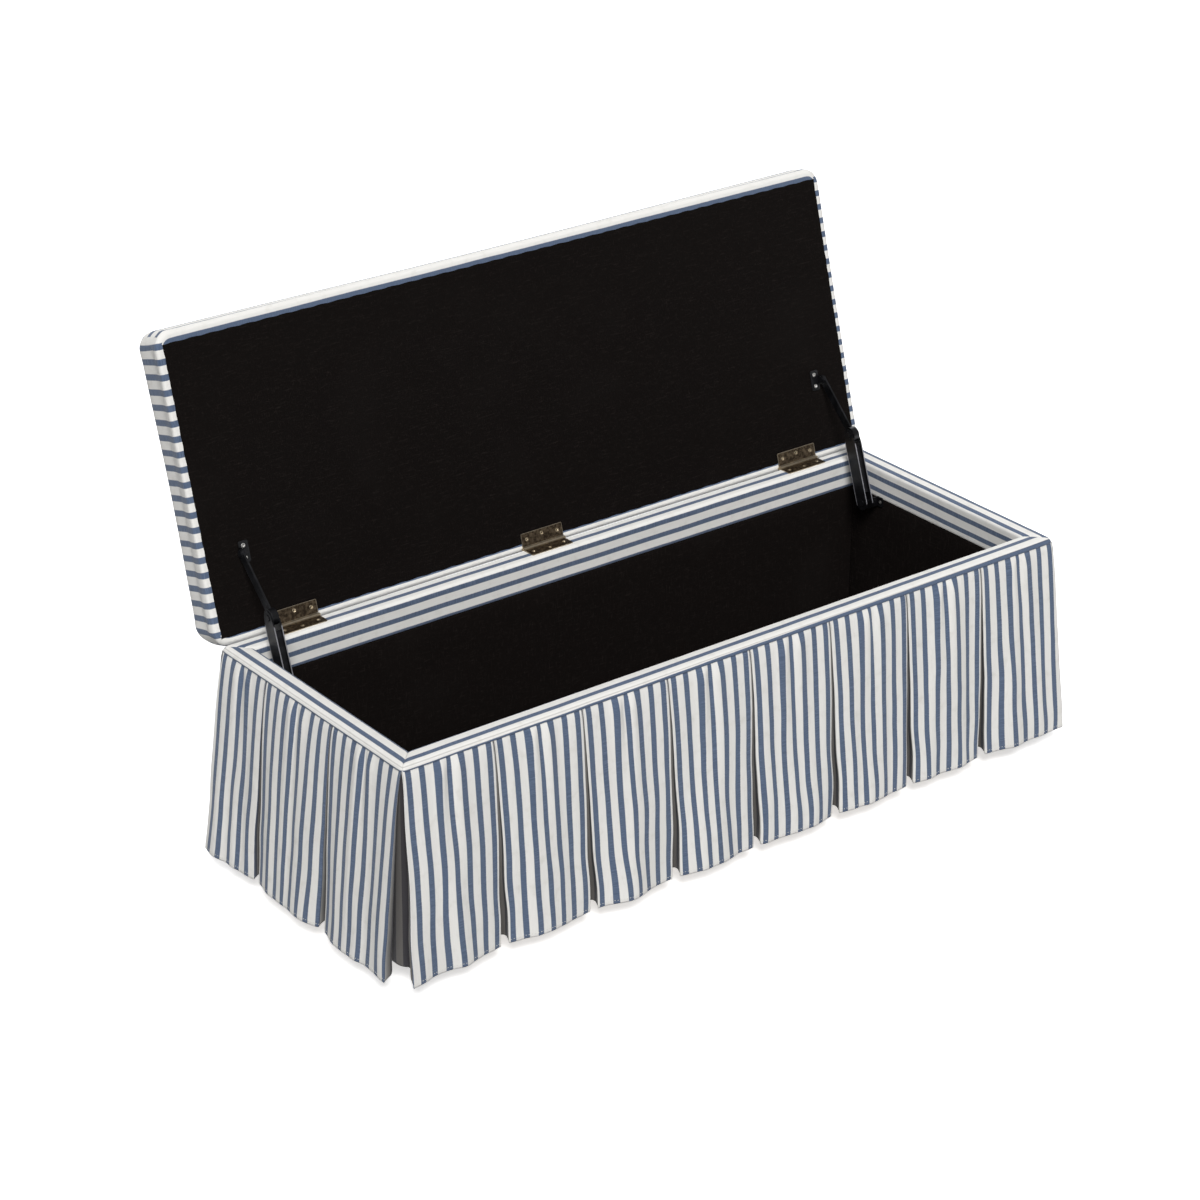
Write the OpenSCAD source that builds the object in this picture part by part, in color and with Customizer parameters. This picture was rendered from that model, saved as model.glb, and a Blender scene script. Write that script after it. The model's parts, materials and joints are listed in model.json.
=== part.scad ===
// Upholstered storage bench with a padded lid, a padded rim and a pleated skirt.
// The lid stands open, leaning back on two folding stays, which is the pose of rest.
// Millimetres. +X runs along the bench to the right, +Y to the back, +Z up, and z = 0 is the floor.

/* [Box] */
// Length of the padded rim, end to end
box_w = 1220; // [900:5:1500]
// Depth of the padded rim, front to back
box_d = 457; // [420:1:560]
// Height of the top of the rim above the floor
rim_h = 350; // [300:1:450]
// Thickness of the four side panels
panel_t = 18; // [16:0.5:24]
// Thickness of the rails inside the rim
rail_t = 12; // [10:0.5:18]
// Height of the rails inside the rim
rail_h = 42; // [30:1:50]
// Thickness of the bottom board
floor_t = 12; // [9:0.5:20]
// Thickness of the lining on the bottom board
floor_lining_t = 3; // [2:0.5:6]

/* [Feet] */
// Height of a foot with its glide
foot_h = 70; // [50:1:90]
// Width of a foot
foot_w = 60; // [45:1:80]
// Distance of a foot's centre from the outer faces of the rim
foot_in = 62; // [55:1:110]
// Radius of a glide
glide_r = 11; // [8:0.5:15]
// Thickness of a glide
glide_t = 3; // [2:0.5:5]

/* [Padded rim] */
// Thickness of the padded cover of the rim
band_t = 3; // [2:0.1:4]
// Thickness of the foam strip on top of the wood
rim_foam_t = 6; // [6:0.5:10]
// Radius of the rim's outer top edge
rim_out_r = 8.5; // [7:0.1:9]
// Radius of the rim's inner top edge
rim_in_r = 6; // [5:0.1:8]
// Radius of the rim's upright outer corners
rim_corner_r = 8; // [4:0.5:9]

/* [Skirt] */
// Thickness of the skirt cloth with its lining
skirt_t = 2.5; // [1.5:0.1:2.8]
// Height of the hem above the floor
hem_z = 28; // [8:0.5:34]
// How far the skirt stands out at the hem, at the front and back
skirt_flare = 28; // [14:0.5:34]
// How far the skirt stands out at the hem, at the two ends
end_flare = 34; // [14:0.5:40]
// How far the middle of each skirt panel bows out further at the hem
skirt_bow = 8; // [4:0.5:14]
// How far the front and back runs spread towards each corner at the hem
skirt_splay = 18; // [0:0.5:24]
// How far the end runs spread towards each corner at the hem
end_splay = 8; // [0:0.5:14]
// Depth of the fold between two panels at the hem
pleat_depth = 22; // [8:0.5:26]
// Height of the small gathers across a panel
gather = 1.6; // [0:0.1:3]
// Skirt panels along the front and along the back
panels_long = 8; // [5:1:10]
// Skirt panels along each end
panels_short = 3; // [2:1:4]
// Width of the rearmost panel of each end, as a share of the other panels there
back_panel_share = 0.69; // [0.5:0.01:1]
// Length of each leg of the strip of cloth behind an open corner
strip_leg = 40; // [25:1:60]
// Thickness of that strip
strip_t = 1.5; // [1:0.1:2]
// How far that strip stands off the wood at its hem
strip_off = 6; // [0:0.5:8]
// How much higher than the skirt's hem that strip ends
strip_up = 6; // [0:0.5:12]

/* [Lid] */
// How far the lid stands out past the rim at each end
lid_end_over = 7.5; // [0:0.5:15]
// How far the lid stands out past the front of the rim
lid_front_over = 2; // [0:0.5:12]
// How far the lid reaches behind the hinge axis
lid_back_over = 3; // [0:0.1:3.4]
// Thickness of the lid at its edges
lid_t = 75; // [60:1:95]
// Height of the crown in the middle of the cushion
lid_crown = 9; // [2:0.5:16]
// How far the sides of the cushion draw in between the corners
lid_draw = 2.5; // [0:0.1:5]
// Radius of the lid's upper edges
lid_top_r = 20; // [12:0.5:26]
// Radius of the lid's lower edges
lid_low_r = 10; // [9:0.5:12]
// Radius of the lid's corners seen from above
lid_corner_r = 24; // [20:0.5:40]
// Thickness of the lid board
lid_board_t = 15; // [12:0.5:21]
// Thickness of the lid's cover cloth and of the dust cover
cloth_t = 1.2; // [0.8:0.1:2]
// Width of cover cloth that shows in front of the dust cover
strip_front = 5.5; // [0:0.5:12]
// How far the lid opens, from closed to resting on its stays
lid_open = 106.5; // [95:0.5:110]

/* [Hinges] */
// Length of a hinge
hinge_len = 78; // [60:1:100]
// Reach of a leaf from the hinge axis
leaf_reach = 24; // [21:0.5:26]
// Thickness of a leaf
leaf_t = 1.5; // [1.2:0.1:1.8]
// Radius of a knuckle
knuckle_r = 2.8; // [2.3:0.1:2.8]
// Radius of the hinge pin
hinge_pin_r = 1.2; // [0.9:0.05:1.4]
// Distance of the hinge axis from the outer back face of the rim
hinge_in = 2.5; // [2.3:0.1:3]
// Distance of the outer hinges from the ends of the rim
hinge_end = 128; // [100:1:300]
// Place of the middle hinge, which sits a little off centre
hinge_mid_x = -32; // [-60:1:60]
// Distance of the outer two screws of a leaf from the axis
leaf_screw_reach = 13.5; // [11:0.1:15]
// How much further out the middle screw of a leaf sits
leaf_screw_step = 3; // [0:0.1:3.2]
// Spacing of the screws along a leaf
leaf_screw_gap = 29; // [20:0.5:30]

/* [Folding stays] */
// Distance of the stay's middle plane from the inner face of the rim
stay_in = 20.5; // [19:0.1:26]
// Distance of the lid pivot from the hinge axis along the lid
stay_lid_reach = 122; // [120:1:126]
// Depth of the lid pivot below the hinge axis, square to the lid
stay_lid_drop = 8; // [8:0.1:10]
// Distance of the box pivot in front of the hinge axis
stay_box_reach = 86; // [84:1:90]
// Depth of the box pivot below the hinge axis
stay_box_drop = 58; // [53:1:60]
// Length of the lower arm between its pivots
lower_len = 112; // [108:0.5:114]
// Length of the upper arm between its pivots
upper_len = 104; // [100:0.5:106]
// Outer width of the channel of the lower arm
channel_w = 14; // [12:0.5:16]
// Wall of the channel
channel_wall = 1.5; // [1:0.1:2]
// Reach of the channel's walls in front of the line between its pivots
channel_front = 12; // [10:0.5:14]
// Reach of the channel's walls behind that line
channel_back = 13; // [11:0.5:15]
// How far the web lies back from the front edges of the channel
web_back = 4; // [2:0.5:5]
// Width of the flat upper arm
arm_w = 14; // [10:0.5:16]
// Thickness of the flat upper arm
arm_t = 3; // [2:0.1:4]
// Radius of the elbow hub
hub_r = 12.5; // [11:0.5:14]
// Radius of the rivets
rivet_r = 3; // [2:0.1:3.5]
// Sheet thickness of the stay's brackets
bracket_t = 2; // [1.5:0.1:2.5]
// Spacing of the two screws of a lid bracket
lid_bracket_gap = 18.5; // [15:0.5:24]
// Spacing of the two screws of a box bracket
box_bracket_gap = 32; // [28:0.5:40]

/* [Screws] */
// Radius of a screw's shank
screw_r = 1.75; // [1.2:0.05:2]
// Radius of a screw's head
screw_head_r = 3.4; // [2.6:0.1:3.6]
// Height of a screw's head
screw_head_h = 1.4; // [1:0.1:1.5]
// Length of the hinge and stay screws
screw_len = 14; // [10:0.5:15]
// Length of the screws that hold the feet
foot_screw_len = 40; // [30:1:45]

/* [Hidden] */
$fn = 48;
eps = 0.01;
// Clearance round a pin, a screw or a rivet
fit = 0.05;
// Clearance between the two leaves when the lid is closed, and between knuckles
leaf_gap = 0.4;
knuckle_gap = 0.15;
// Clearance beside a moving arm
side_gap = 0.3;
bracket_gap = 0.6;

rim_w = panel_t + rail_t + 2 * band_t;
rim_drop = band_t + rim_foam_t;
band_drop = rim_drop + rail_h;
wood_top = rim_h - rim_drop;
lining_t = rim_w - band_t - panel_t;
lining_top = rim_h - band_drop;
floor_top = foot_h + floor_t;
inner_x = box_w / 2 - rim_w;
inner_y = box_d / 2 - rim_w;

// Hinge axis, and the underside of the closed lid above it
hinge_y = box_d / 2 - hinge_in;
hinge_z = rim_h + leaf_t + leaf_gap / 2;
lid_under = leaf_t + leaf_gap / 2;
lid_half_w = box_w / 2 + lid_end_over;
lid_front = hinge_y + box_d / 2 + lid_front_over;
hinge_x = box_w / 2 - hinge_end;
hinge_places = [-hinge_x, hinge_mid_x, hinge_x];
leaf_screws = [[-leaf_screw_gap, leaf_screw_reach],
               [0, leaf_screw_reach + leaf_screw_step],
               [leaf_screw_gap, leaf_screw_reach]];

// Pivots of a stay, as [y, z] from the hinge axis with the lid open
function turned(p, a) = [p[0] * cos(a) - p[1] * sin(a), p[0] * sin(a) + p[1] * cos(a)];
box_pivot = [-stay_box_reach, -stay_box_drop];
lid_pivot_closed = [-stay_lid_reach, -stay_lid_drop];
lid_pivot = turned(lid_pivot_closed, -lid_open);
// The elbow lies where the circles of the two arms meet, on the front side
function elbow_of(p) =
    let (d = p - box_pivot, c = norm(d),
         a = (lower_len * lower_len - upper_len * upper_len + c * c) / (2 * c),
         h = sqrt(lower_len * lower_len - a * a))
    box_pivot + a * d / c + h * [-d[1], d[0]] / c;
function bearing(d) = atan2(d[1], d[0]);
elbow = elbow_of(lid_pivot);
elbow_closed = elbow_of(lid_pivot_closed);
lower_angle = bearing(elbow - box_pivot);
upper_angle = bearing(lid_pivot - elbow);
function whole(a) = a < 0 ? a + 360 : a;
lower_turn = whole(bearing(elbow_closed - box_pivot)) - lower_angle;
upper_turn = bearing(lid_pivot_closed - elbow_closed) - upper_angle;
stay_x = inner_x - stay_in;

// The part stands with the middle of its open outline over the origin
front_reach = box_d / 2 - band_t + skirt_t + skirt_flare + skirt_bow;
back_reach = hinge_y + (lid_front - lid_top_r) * -cos(lid_open)
    + (lid_under + lid_t - lid_top_r) * sin(lid_open) + lid_top_r;
frame_y = (front_reach - back_reach) / 2;

echo(frame_y = frame_y, hinge_y = hinge_y + frame_y, hinge_z = hinge_z, stay_x = stay_x);
echo(box_pivot_y = hinge_y + frame_y + box_pivot[0], box_pivot_z = hinge_z + box_pivot[1]);
echo(elbow_y = hinge_y + frame_y + elbow[0], elbow_z = hinge_z + elbow[1]);
echo(lower_turn = lower_turn, upper_turn = upper_turn);

side_names = ["front", "right", "back", "left"];

// Places that are shared by many pieces
module placed() { translate([0, frame_y, 0]) children(); }
module on_side(k) { rotate([0, 0, 90 * k]) children(); }
function side_len(k) = k % 2 == 0 ? box_w : box_d;
function side_reach(k) = (k % 2 == 0 ? box_d : box_w) / 2;
module from_axis() { translate([0, hinge_y, hinge_z]) children(); }
module on_lid() { from_axis() rotate([-lid_open, 0, 0]) children(); }
module each_side_of_bench() {
    children();
    mirror([1, 0, 0]) children();
}
module left_one() { mirror([1, 0, 0]) children(); }
// A cylinder along X, from x0 to x1
module rod(r, x0, x1) { translate([x0, 0, 0]) rotate([0, 90, 0]) cylinder(r = r, h = x1 - x0); }

// A plate outline with its two far corners rounded: x from 0 to w, y from -h to 0
module round_top(w, h, r1, r2) {
    intersection() {
        translate([0, -h]) square([w, h]);
        union() {
            translate([0, -h]) square([r1, h - r1]);
            translate([r1, -h]) square([w - r1 - r2, h]);
            translate([w - r2, -h]) square([r2, h - r2]);
            translate([r1, -r1]) circle(r1);
            translate([w - r2, -r2]) circle(r2);
        }
    }
}
// A rectangle with round corners, centred
module round_plate(w, h, r) {
    square([w - 2 * r, h], center = true);
    square([w, h - 2 * r], center = true);
    for (x = [-1, 1], y = [-1, 1]) translate([x * (w / 2 - r), y * (h / 2 - r)]) circle(r);
}

// Countersunk wood screw that points down -Z, with the top of its head at z = 0
module screw(len) {
    translate([0, 0, -screw_head_h]) cylinder(r1 = screw_r, r2 = screw_head_r, h = screw_head_h);
    translate([0, 0, -len + 2 * screw_r]) cylinder(r = screw_r, h = len - screw_head_h - 2 * screw_r + eps);
    translate([0, 0, -len]) cylinder(r1 = 0.3, r2 = screw_r, h = 2 * screw_r + eps);
}
// The hole for it, a little wider and open above
module screw_hole(len) {
    translate([0, 0, -screw_head_h])
        cylinder(r1 = screw_r + fit, r2 = screw_head_r + fit, h = screw_head_h + fit);
    translate([0, 0, -len - 1]) cylinder(r = screw_r + fit, h = len + 1);
    cylinder(r = screw_head_r + fit, h = 1);
}
// Where the screws go
module at_box_leaf_screws() {
    for (x = hinge_places, s = leaf_screws)
        from_axis() translate([x + s[0], -s[1], -leaf_gap / 2]) children();
}
module at_lid_leaf_screws() {
    for (x = hinge_places, s = leaf_screws)
        on_lid() translate([x + s[0], -s[1], leaf_gap / 2]) mirror([0, 0, 1]) children();
}
module at_stay_box_screws() {
    for (y = [-1, 1])
        from_axis() translate([inner_x - bracket_t, box_pivot[0] + y * box_bracket_gap / 2, box_pivot[1]])
            rotate([0, -90, 0]) children();
}
lid_bracket_x = stay_x - arm_t / 2 - side_gap;
lid_bracket_w = 16;
module at_stay_lid_screws() {
    for (y = [-1, 1])
        on_lid() translate([lid_bracket_x - lid_bracket_w / 2, -stay_lid_reach + y * lid_bracket_gap / 2,
            lid_under - bracket_t]) mirror([0, 0, 1]) children();
}
module at_feet() {
    for (x = [-1, 1], y = [-1, 1])
        translate([x * (box_w / 2 - foot_in), y * (box_d / 2 - foot_in), 0]) children();
}
module at_foot_screws() {
    at_feet() for (a = [-1, 1]) translate([a * foot_w / 4, a * foot_w / 4, floor_top]) children();
}

// Wooden box: the long panels run through, and the end panels stand between them
module long_panel() {
    color("burlywood")
    translate([0, -box_d / 2 + band_t + panel_t / 2, (foot_h + wood_top) / 2])
        cube([box_w - 2 * band_t, panel_t, wood_top - foot_h], center = true);
}
module front_panel() { placed() long_panel(); }
module back_panel() {
    color("burlywood") placed() difference() {
        on_side(2) long_panel();
        at_box_leaf_screws() screw_hole(screw_len);
    }
}
module end_panel() {
    color("burlywood") difference() {
        translate([box_w / 2 - band_t - panel_t / 2, 0, (foot_h + wood_top) / 2])
            cube([panel_t, box_d - 2 * (band_t + panel_t), wood_top - foot_h], center = true);
        at_stay_box_screws() screw_hole(screw_len + lining_t);
    }
}
module right_panel() { placed() end_panel(); }
module left_panel() { placed() left_one() end_panel(); }
module bottom_board() {
    color("tan") placed() difference() {
        translate([0, 0, foot_h + floor_t / 2])
            cube([box_w - 2 * (band_t + panel_t), box_d - 2 * (band_t + panel_t), floor_t], center = true);
        at_foot_screws() screw_hole(foot_screw_len);
    }
}

// Rails that thicken the rim behind the panels
module rim_rail(k) {
    cut = k % 2 == 0 ? band_t + panel_t : band_t + panel_t + rail_t;
    color("wheat") on_side(k)
        translate([0, -side_reach(k) + band_t + panel_t + rail_t / 2, wood_top - rail_h / 2])
            cube([side_len(k) - 2 * cut, rail_t, rail_h], center = true);
}
module front_rail() { placed() rim_rail(0); }
module right_rail() { placed() rim_rail(1); }
module back_rail() { placed() rim_rail(2); }
module left_rail() { placed() rim_rail(3); }

// Feet of solid wood, screwed up against the bottom board, each on a nailed glide
module foot() {
    color("saddlebrown") difference() {
        translate([0, 0, (foot_h + glide_t) / 2]) cube([foot_w, foot_w, foot_h - glide_t], center = true);
        for (a = [-1, 1]) translate([a * foot_w / 4, a * foot_w / 4, floor_top]) screw_hole(foot_screw_len);
        translate([0, 0, glide_t - eps]) cylinder(r = 1 + fit, h = 12);
    }
}
module foot_at(x, y) {
    placed() translate([x * (box_w / 2 - foot_in), y * (box_d / 2 - foot_in), 0]) foot();
}
module front_left_foot() { foot_at(-1, -1); }
module front_right_foot() { foot_at(1, -1); }
module back_left_foot() { foot_at(-1, 1); }
module back_right_foot() { foot_at(1, 1); }
module foot_glides() {
    color("dimgray") placed() at_feet() {
        cylinder(r1 = glide_r - 1, r2 = glide_r, h = glide_t);
        cylinder(r = 1, h = glide_t + 10);
    }
}
module foot_screws() { color("silver") placed() at_foot_screws() screw(foot_screw_len); }

// Padded rim: a foam strip on the wood under a mitred cover, an upside-down U in section
module rim_run(k) {
    rotate([90, 0, 90]) linear_extrude(side_len(k), center = true) children();
}
module rim_band(k) {
    color("lightsteelblue") difference() {
        on_side(k) intersection() {
            translate([0, -side_reach(k), rim_h]) rim_run(k) difference() {
                round_top(rim_w, band_drop, rim_out_r, rim_in_r);
                translate([band_t, -band_t])
                    round_top(rim_w - 2 * band_t, band_drop, rim_out_r - band_t, rim_in_r - band_t);
                translate([-1, -2 * band_drop]) square([band_t + 2, 2 * band_drop - rim_drop]);
            }
            mitre(k);
            linear_extrude(rim_h) round_plate(side_len(k), 2 * side_reach(k), rim_corner_r);
        }
        if (k == 2) at_box_leaf_screws() screw_hole(screw_len);
    }
}
// The prism over one side of the bench, cut at 45 degrees at the corners
module mitre(k) {
    reach = min(box_w, box_d) / 2;
    half = side_len(k) / 2;
    linear_extrude(rim_h)
        polygon([[-half, -side_reach(k)], [half, -side_reach(k)],
            [half - reach, -side_reach(k) + reach], [reach - half, -side_reach(k) + reach]]);
}
module rim_band_front() { placed() rim_band(0); }
module rim_band_right() { placed() rim_band(1); }
module rim_band_back() { placed() rim_band(2); }
module rim_band_left() { placed() rim_band(3); }
module rim_foam() {
    color("beige") placed() difference() {
        for (k = [0:3]) on_side(k) intersection() {
            translate([0, -side_reach(k) + band_t, rim_h - band_t]) rim_run(k)
                round_top(rim_w - 2 * band_t, rim_foam_t, rim_out_r - band_t, rim_in_r - band_t);
            mitre(k);
            linear_extrude(rim_h)
                round_plate(side_len(k) - 2 * band_t, 2 * (side_reach(k) - band_t), rim_corner_r - band_t);
        }
        at_box_leaf_screws() screw_hole(screw_len);
    }
}

// Skirt: cloth panels that flare and bow out towards the hem, parted by deep folds
skirt_rows = [0, 0.1, 0.3, 0.55, 0.8, 1];
// Places across one panel, from fold to fold
skirt_marks = [0, 0.035, 0.075, 0.2, 0.36, 0.5, 0.64, 0.8, 0.925, 0.965];
// How far the cloth stands out, at a share t across panel i and a share v down side k's n panels
function skirt_out(t, v, i, k, n) =
    let (fold = t == 0 && i % n != 0 ? 1 : 0,
         corner = i == 0 && t < 0.5 || i == n - 1 && t > 0.5 || i >= n,
         body = (k % 2 == 0 ? skirt_flare : end_flare) + skirt_bow * (corner ? 1 : sin(180 * t)),
         wave = gather * sin(360 * (3 * t + 0.37 * i)) * sin(180 * min(1, 1.4 * v)))
    max(0, v * body + wave * sin(180 * t) - fold * v * pleat_depth);
// Place of the fold after i panels, as a share of the run
function fold_place(k, n, i) =
    let (s = k % 2 == 0 ? 1 : back_panel_share, unit = 1 / (n - 1 + s))
    k == 3 ? max(0, i - 1 + s) * (i > 0 ? unit : 0) : i >= n ? 1 : i * unit;
function skirt_grid(k, n) =
    let (half = side_len(k) / 2 - (k % 2 == 0 ? band_t - skirt_t : band_t),
         reach = side_reach(k) - band_t,
         splay = k % 2 == 0 ? skirt_splay : end_splay,
         top = wood_top)
    [for (layer = [0, 1], v = skirt_rows)
        [for (j = [0:n * len(skirt_marks)])
            let (i = floor(j / len(skirt_marks)), t = skirt_marks[j % len(skirt_marks)],
                 a = fold_place(k, n, i), b = fold_place(k, n, min(n, i + 1)),
                 place = 2 * (a + t * (b - a)) - 1)
            [place * (half + v * splay * pow(abs(place), 7)),
             -reach - skirt_out(t, v, i, k, n) - layer * skirt_t, top - v * (top - hem_z)]]];
module skirt(k, n) {
    grid = skirt_grid(k, n);
    cols = len(grid[0]);
    rows = len(skirt_rows);
    points = [for (row = grid) for (p = row) p];
    function at(layer, r, c) = (layer * rows + r) * cols + c;
    faces = concat(
        [for (r = [0:rows - 2], c = [0:cols - 2]) each [
            [at(1, r, c), at(1, r, c + 1), at(1, r + 1, c + 1)],
            [at(1, r, c), at(1, r + 1, c + 1), at(1, r + 1, c)],
            [at(0, r, c), at(0, r + 1, c + 1), at(0, r, c + 1)],
            [at(0, r, c), at(0, r + 1, c), at(0, r + 1, c + 1)]]],
        [for (c = [0:cols - 2]) each [
            [at(0, 0, c), at(0, 0, c + 1), at(1, 0, c + 1)],
            [at(0, 0, c), at(1, 0, c + 1), at(1, 0, c)],
            [at(0, rows - 1, c), at(1, rows - 1, c + 1), at(0, rows - 1, c + 1)],
            [at(0, rows - 1, c), at(1, rows - 1, c), at(1, rows - 1, c + 1)]]],
        [for (r = [0:rows - 2]) each [
            [at(0, r, 0), at(1, r, 0), at(1, r + 1, 0)],
            [at(0, r, 0), at(1, r + 1, 0), at(0, r + 1, 0)],
            [at(0, r, cols - 1), at(1, r + 1, cols - 1), at(1, r, cols - 1)],
            [at(0, r, cols - 1), at(0, r + 1, cols - 1), at(1, r + 1, cols - 1)]]]);
    color("lightsteelblue") placed() on_side(k) polyhedron(points, faces);
}
// Strip of cloth behind the open fold at a corner: it lies on the wood above and hangs free below
strip_from = 0.2;
module corner_strip() {
    function ring(off, z) =
        [for (p = [[-strip_leg, off], [off, off], [off, -strip_leg],
                   [off + strip_t, -strip_leg], [off + strip_t, off + strip_t], [-strip_leg, off + strip_t]])
            [p[0], p[1], z]];
    points = concat(ring(strip_off, hem_z + strip_up), ring(0, wood_top - strip_from * (wood_top - hem_z)));
    faces = concat([[0, 1, 4, 5], [1, 2, 3, 4], [6, 11, 10, 7], [7, 10, 9, 8]],
        [for (i = [0:5]) let (j = (i + 1) % 6) [i, i + 6, j + 6, j]]);
    translate([box_w / 2 - band_t, box_d / 2 - band_t, 0]) polyhedron(points, faces);
}
module corner_strips() {
    color("lightsteelblue") for (s = [0, 1]) mirror([0, s, 0]) corner_strip();
}
module skirt_front() { skirt(0, panels_long); }
module skirt_right() {
    skirt(1, panels_short);
    placed() corner_strips();
}
module skirt_back() { skirt(2, panels_long); }
module skirt_left() {
    skirt(3, panels_short);
    placed() left_one() corner_strips();
}

// Padded lining boards in black cloth, flush with the rim's cover above them
module lining(k) {
    cut = k % 2 == 0 ? band_t + panel_t : rim_w;
    color("black") difference() {
        on_side(k) translate([0, -side_reach(k) + rim_w - lining_t / 2, (floor_top + lining_top) / 2])
            cube([side_len(k) - 2 * cut, lining_t, lining_top - floor_top], center = true);
        each_side_of_bench() at_stay_box_screws() screw_hole(screw_len);
    }
}
module lining_front() { placed() lining(0); }
module lining_right() { placed() lining(1); }
module lining_back() { placed() lining(2); }
module lining_left() { placed() lining(3); }
module lining_floor() {
    color("black") placed() translate([0, 0, floor_top + floor_lining_t / 2])
        cube([2 * inner_x, 2 * inner_y, floor_lining_t], center = true);
}

// Lid cushion: rings of a rounded rectangle, stacked from the underside to the crown
corner_steps = 5;
long_steps = 9;
short_steps = 4;
// Outline of the closed lid at an inset, with sides drawn in between the corners
function lid_outline(inset, draw) =
    let (hx = lid_half_w - inset, y0 = -lid_front + inset, y1 = lid_back_over - inset,
         r = max(3, lid_corner_r - inset), cy = (y0 + y1) / 2, hy = (y1 - y0) / 2)
    concat(
        [for (i = [0:long_steps - 1]) let (s = i / long_steps)
            [(hx - r) * (2 * s - 1), y0 + draw * sin(180 * s)]],
        [for (i = [0:corner_steps - 1]) let (a = -90 + 90 * i / corner_steps)
            [hx - r + r * cos(a), y0 + r + r * sin(a)]],
        [for (i = [0:short_steps - 1]) let (s = i / short_steps)
            [hx - draw * sin(180 * s), cy + (hy - r) * (2 * s - 1)]],
        [for (i = [0:corner_steps - 1]) let (a = 90 * i / corner_steps)
            [hx - r + r * cos(a), y1 - r + r * sin(a)]],
        [for (i = [0:long_steps - 1]) let (s = i / long_steps)
            [(hx - r) * (1 - 2 * s), y1 - draw * sin(180 * s)]],
        [for (i = [0:corner_steps - 1]) let (a = 90 + 90 * i / corner_steps)
            [-hx + r + r * cos(a), y1 - r + r * sin(a)]],
        [for (i = [0:short_steps - 1]) let (s = i / short_steps)
            [-hx + draw * sin(180 * s), cy + (hy - r) * (1 - 2 * s)]],
        [for (i = [0:corner_steps - 1]) let (a = 180 + 90 * i / corner_steps)
            [-hx + r + r * cos(a), y0 + r + r * sin(a)]]);
// [inset, height, share of the draw-in] of each ring
crown_insets = [55, 110, 180];
function lid_rings(skin) =
    let (low = lid_low_r - skin, top = lid_top_r - skin, h = lid_t - skin)
    concat(
        [for (a = [0, 45, 90]) [skin + low * (1 - sin(a)), skin + low * (1 - cos(a)), 0.5 * a / 90]],
        [[skin, lid_t / 2, 1]],
        [for (a = [0:22.5:90]) [skin + top * (1 - cos(a)), h - top * (1 - sin(a)), 1 - a / 90]],
        [for (s = crown_insets) let (u = s / (box_d / 2))
            [skin + s, h + lid_crown * (1 - pow(1 - u, 3)), 0]]);
module lid_body(skin) {
    rings = [for (r = lid_rings(skin))
        [for (p = lid_outline(r[0], lid_draw * r[2])) [p[0], p[1], lid_under + r[1]]]];
    n = len(rings[0]);
    m = len(rings);
    middle = (lid_back_over - lid_front) / 2;
    points = concat([for (ring = rings) for (p = ring) p],
        [[0, middle, lid_under + skin], [0, middle, lid_under + lid_t - skin + lid_crown]]);
    faces = concat(
        [for (r = [0:m - 2], c = [0:n - 1]) let (d = (c + 1) % n) each [
            [r * n + c, (r + 1) * n + c, (r + 1) * n + d], [r * n + c, (r + 1) * n + d, r * n + d]]],
        [for (c = [0:n - 1]) [m * n, c, (c + 1) % n]],
        [for (c = [0:n - 1]) [m * n + 1, (m - 1) * n + (c + 1) % n, (m - 1) * n + c]]);
    polyhedron(points, faces);
}
lid_flat_w = lid_half_w - lid_low_r;
lid_flat_back = lid_back_over - lid_low_r;
// A layer of the lid between two heights above its underside, with the outline of its flat underside
module lid_block(z0, z1, front) {
    translate([0, 0, lid_under + z0]) linear_extrude(z1 - z0) intersection() {
        polygon(lid_outline(lid_low_r, 0));
        translate([-lid_flat_w, -front]) square([2 * lid_flat_w, front + lid_flat_back]);
    }
}
board_front = lid_front - lid_low_r;
dust_front = board_front - strip_front;
module lid_board() {
    color("burlywood") placed() difference() {
        on_lid() lid_block(cloth_t, cloth_t + lid_board_t, board_front);
        at_lid_leaf_screws() screw_hole(screw_len);
        each_side_of_bench() at_stay_lid_screws() screw_hole(screw_len);
    }
}
module lid_foam() {
    color("beige") placed() on_lid() difference() {
        lid_body(cloth_t);
        lid_block(-1, cloth_t + lid_board_t, board_front);
    }
}
module lid_cover() {
    color("lightsteelblue") placed() on_lid() difference() {
        lid_body(0);
        lid_body(cloth_t);
        lid_block(cloth_t / 2, cloth_t + 1, board_front);
        lid_block(-1, cloth_t + 1, dust_front);
    }
}
module lid_dust_cover() {
    color("black") placed() difference() {
        on_lid() lid_block(0, cloth_t, dust_front);
        at_lid_leaf_screws() screw_hole(screw_len);
        each_side_of_bench() at_stay_lid_screws() screw_hole(screw_len);
    }
}

// Butt hinges: five knuckles, three on the box leaf and two on the lid leaf
knuckles = 5;
module leaf(own, other) {
    seg = hinge_len / knuckles;
    difference() {
        union() {
            translate([-hinge_len / 2, 0, -leaf_t - leaf_gap / 2]) mirror([0, 1, 0])
                translate([0, leaf_reach, 0]) linear_extrude(leaf_t) round_top(hinge_len, leaf_reach, 2, 2);
            for (i = own) rod(knuckle_r, -hinge_len / 2 + i * seg, -hinge_len / 2 + (i + 1) * seg);
        }
        for (i = other)
            translate([-hinge_len / 2 + i * seg - knuckle_gap, -knuckle_r - leaf_gap, -2 * knuckle_r])
                cube([seg + 2 * knuckle_gap, 3 * knuckle_r, 4 * knuckle_r]);
        rod(hinge_pin_r + fit, -hinge_len, hinge_len);
        for (s = leaf_screws) translate([s[0], -s[1], -leaf_gap / 2]) screw_hole(screw_len);
    }
}
module box_leaf(x) {
    color("darkgoldenrod") placed() from_axis() translate([x, 0, 0]) leaf([0, 2, 4], [1, 3]);
}
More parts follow.
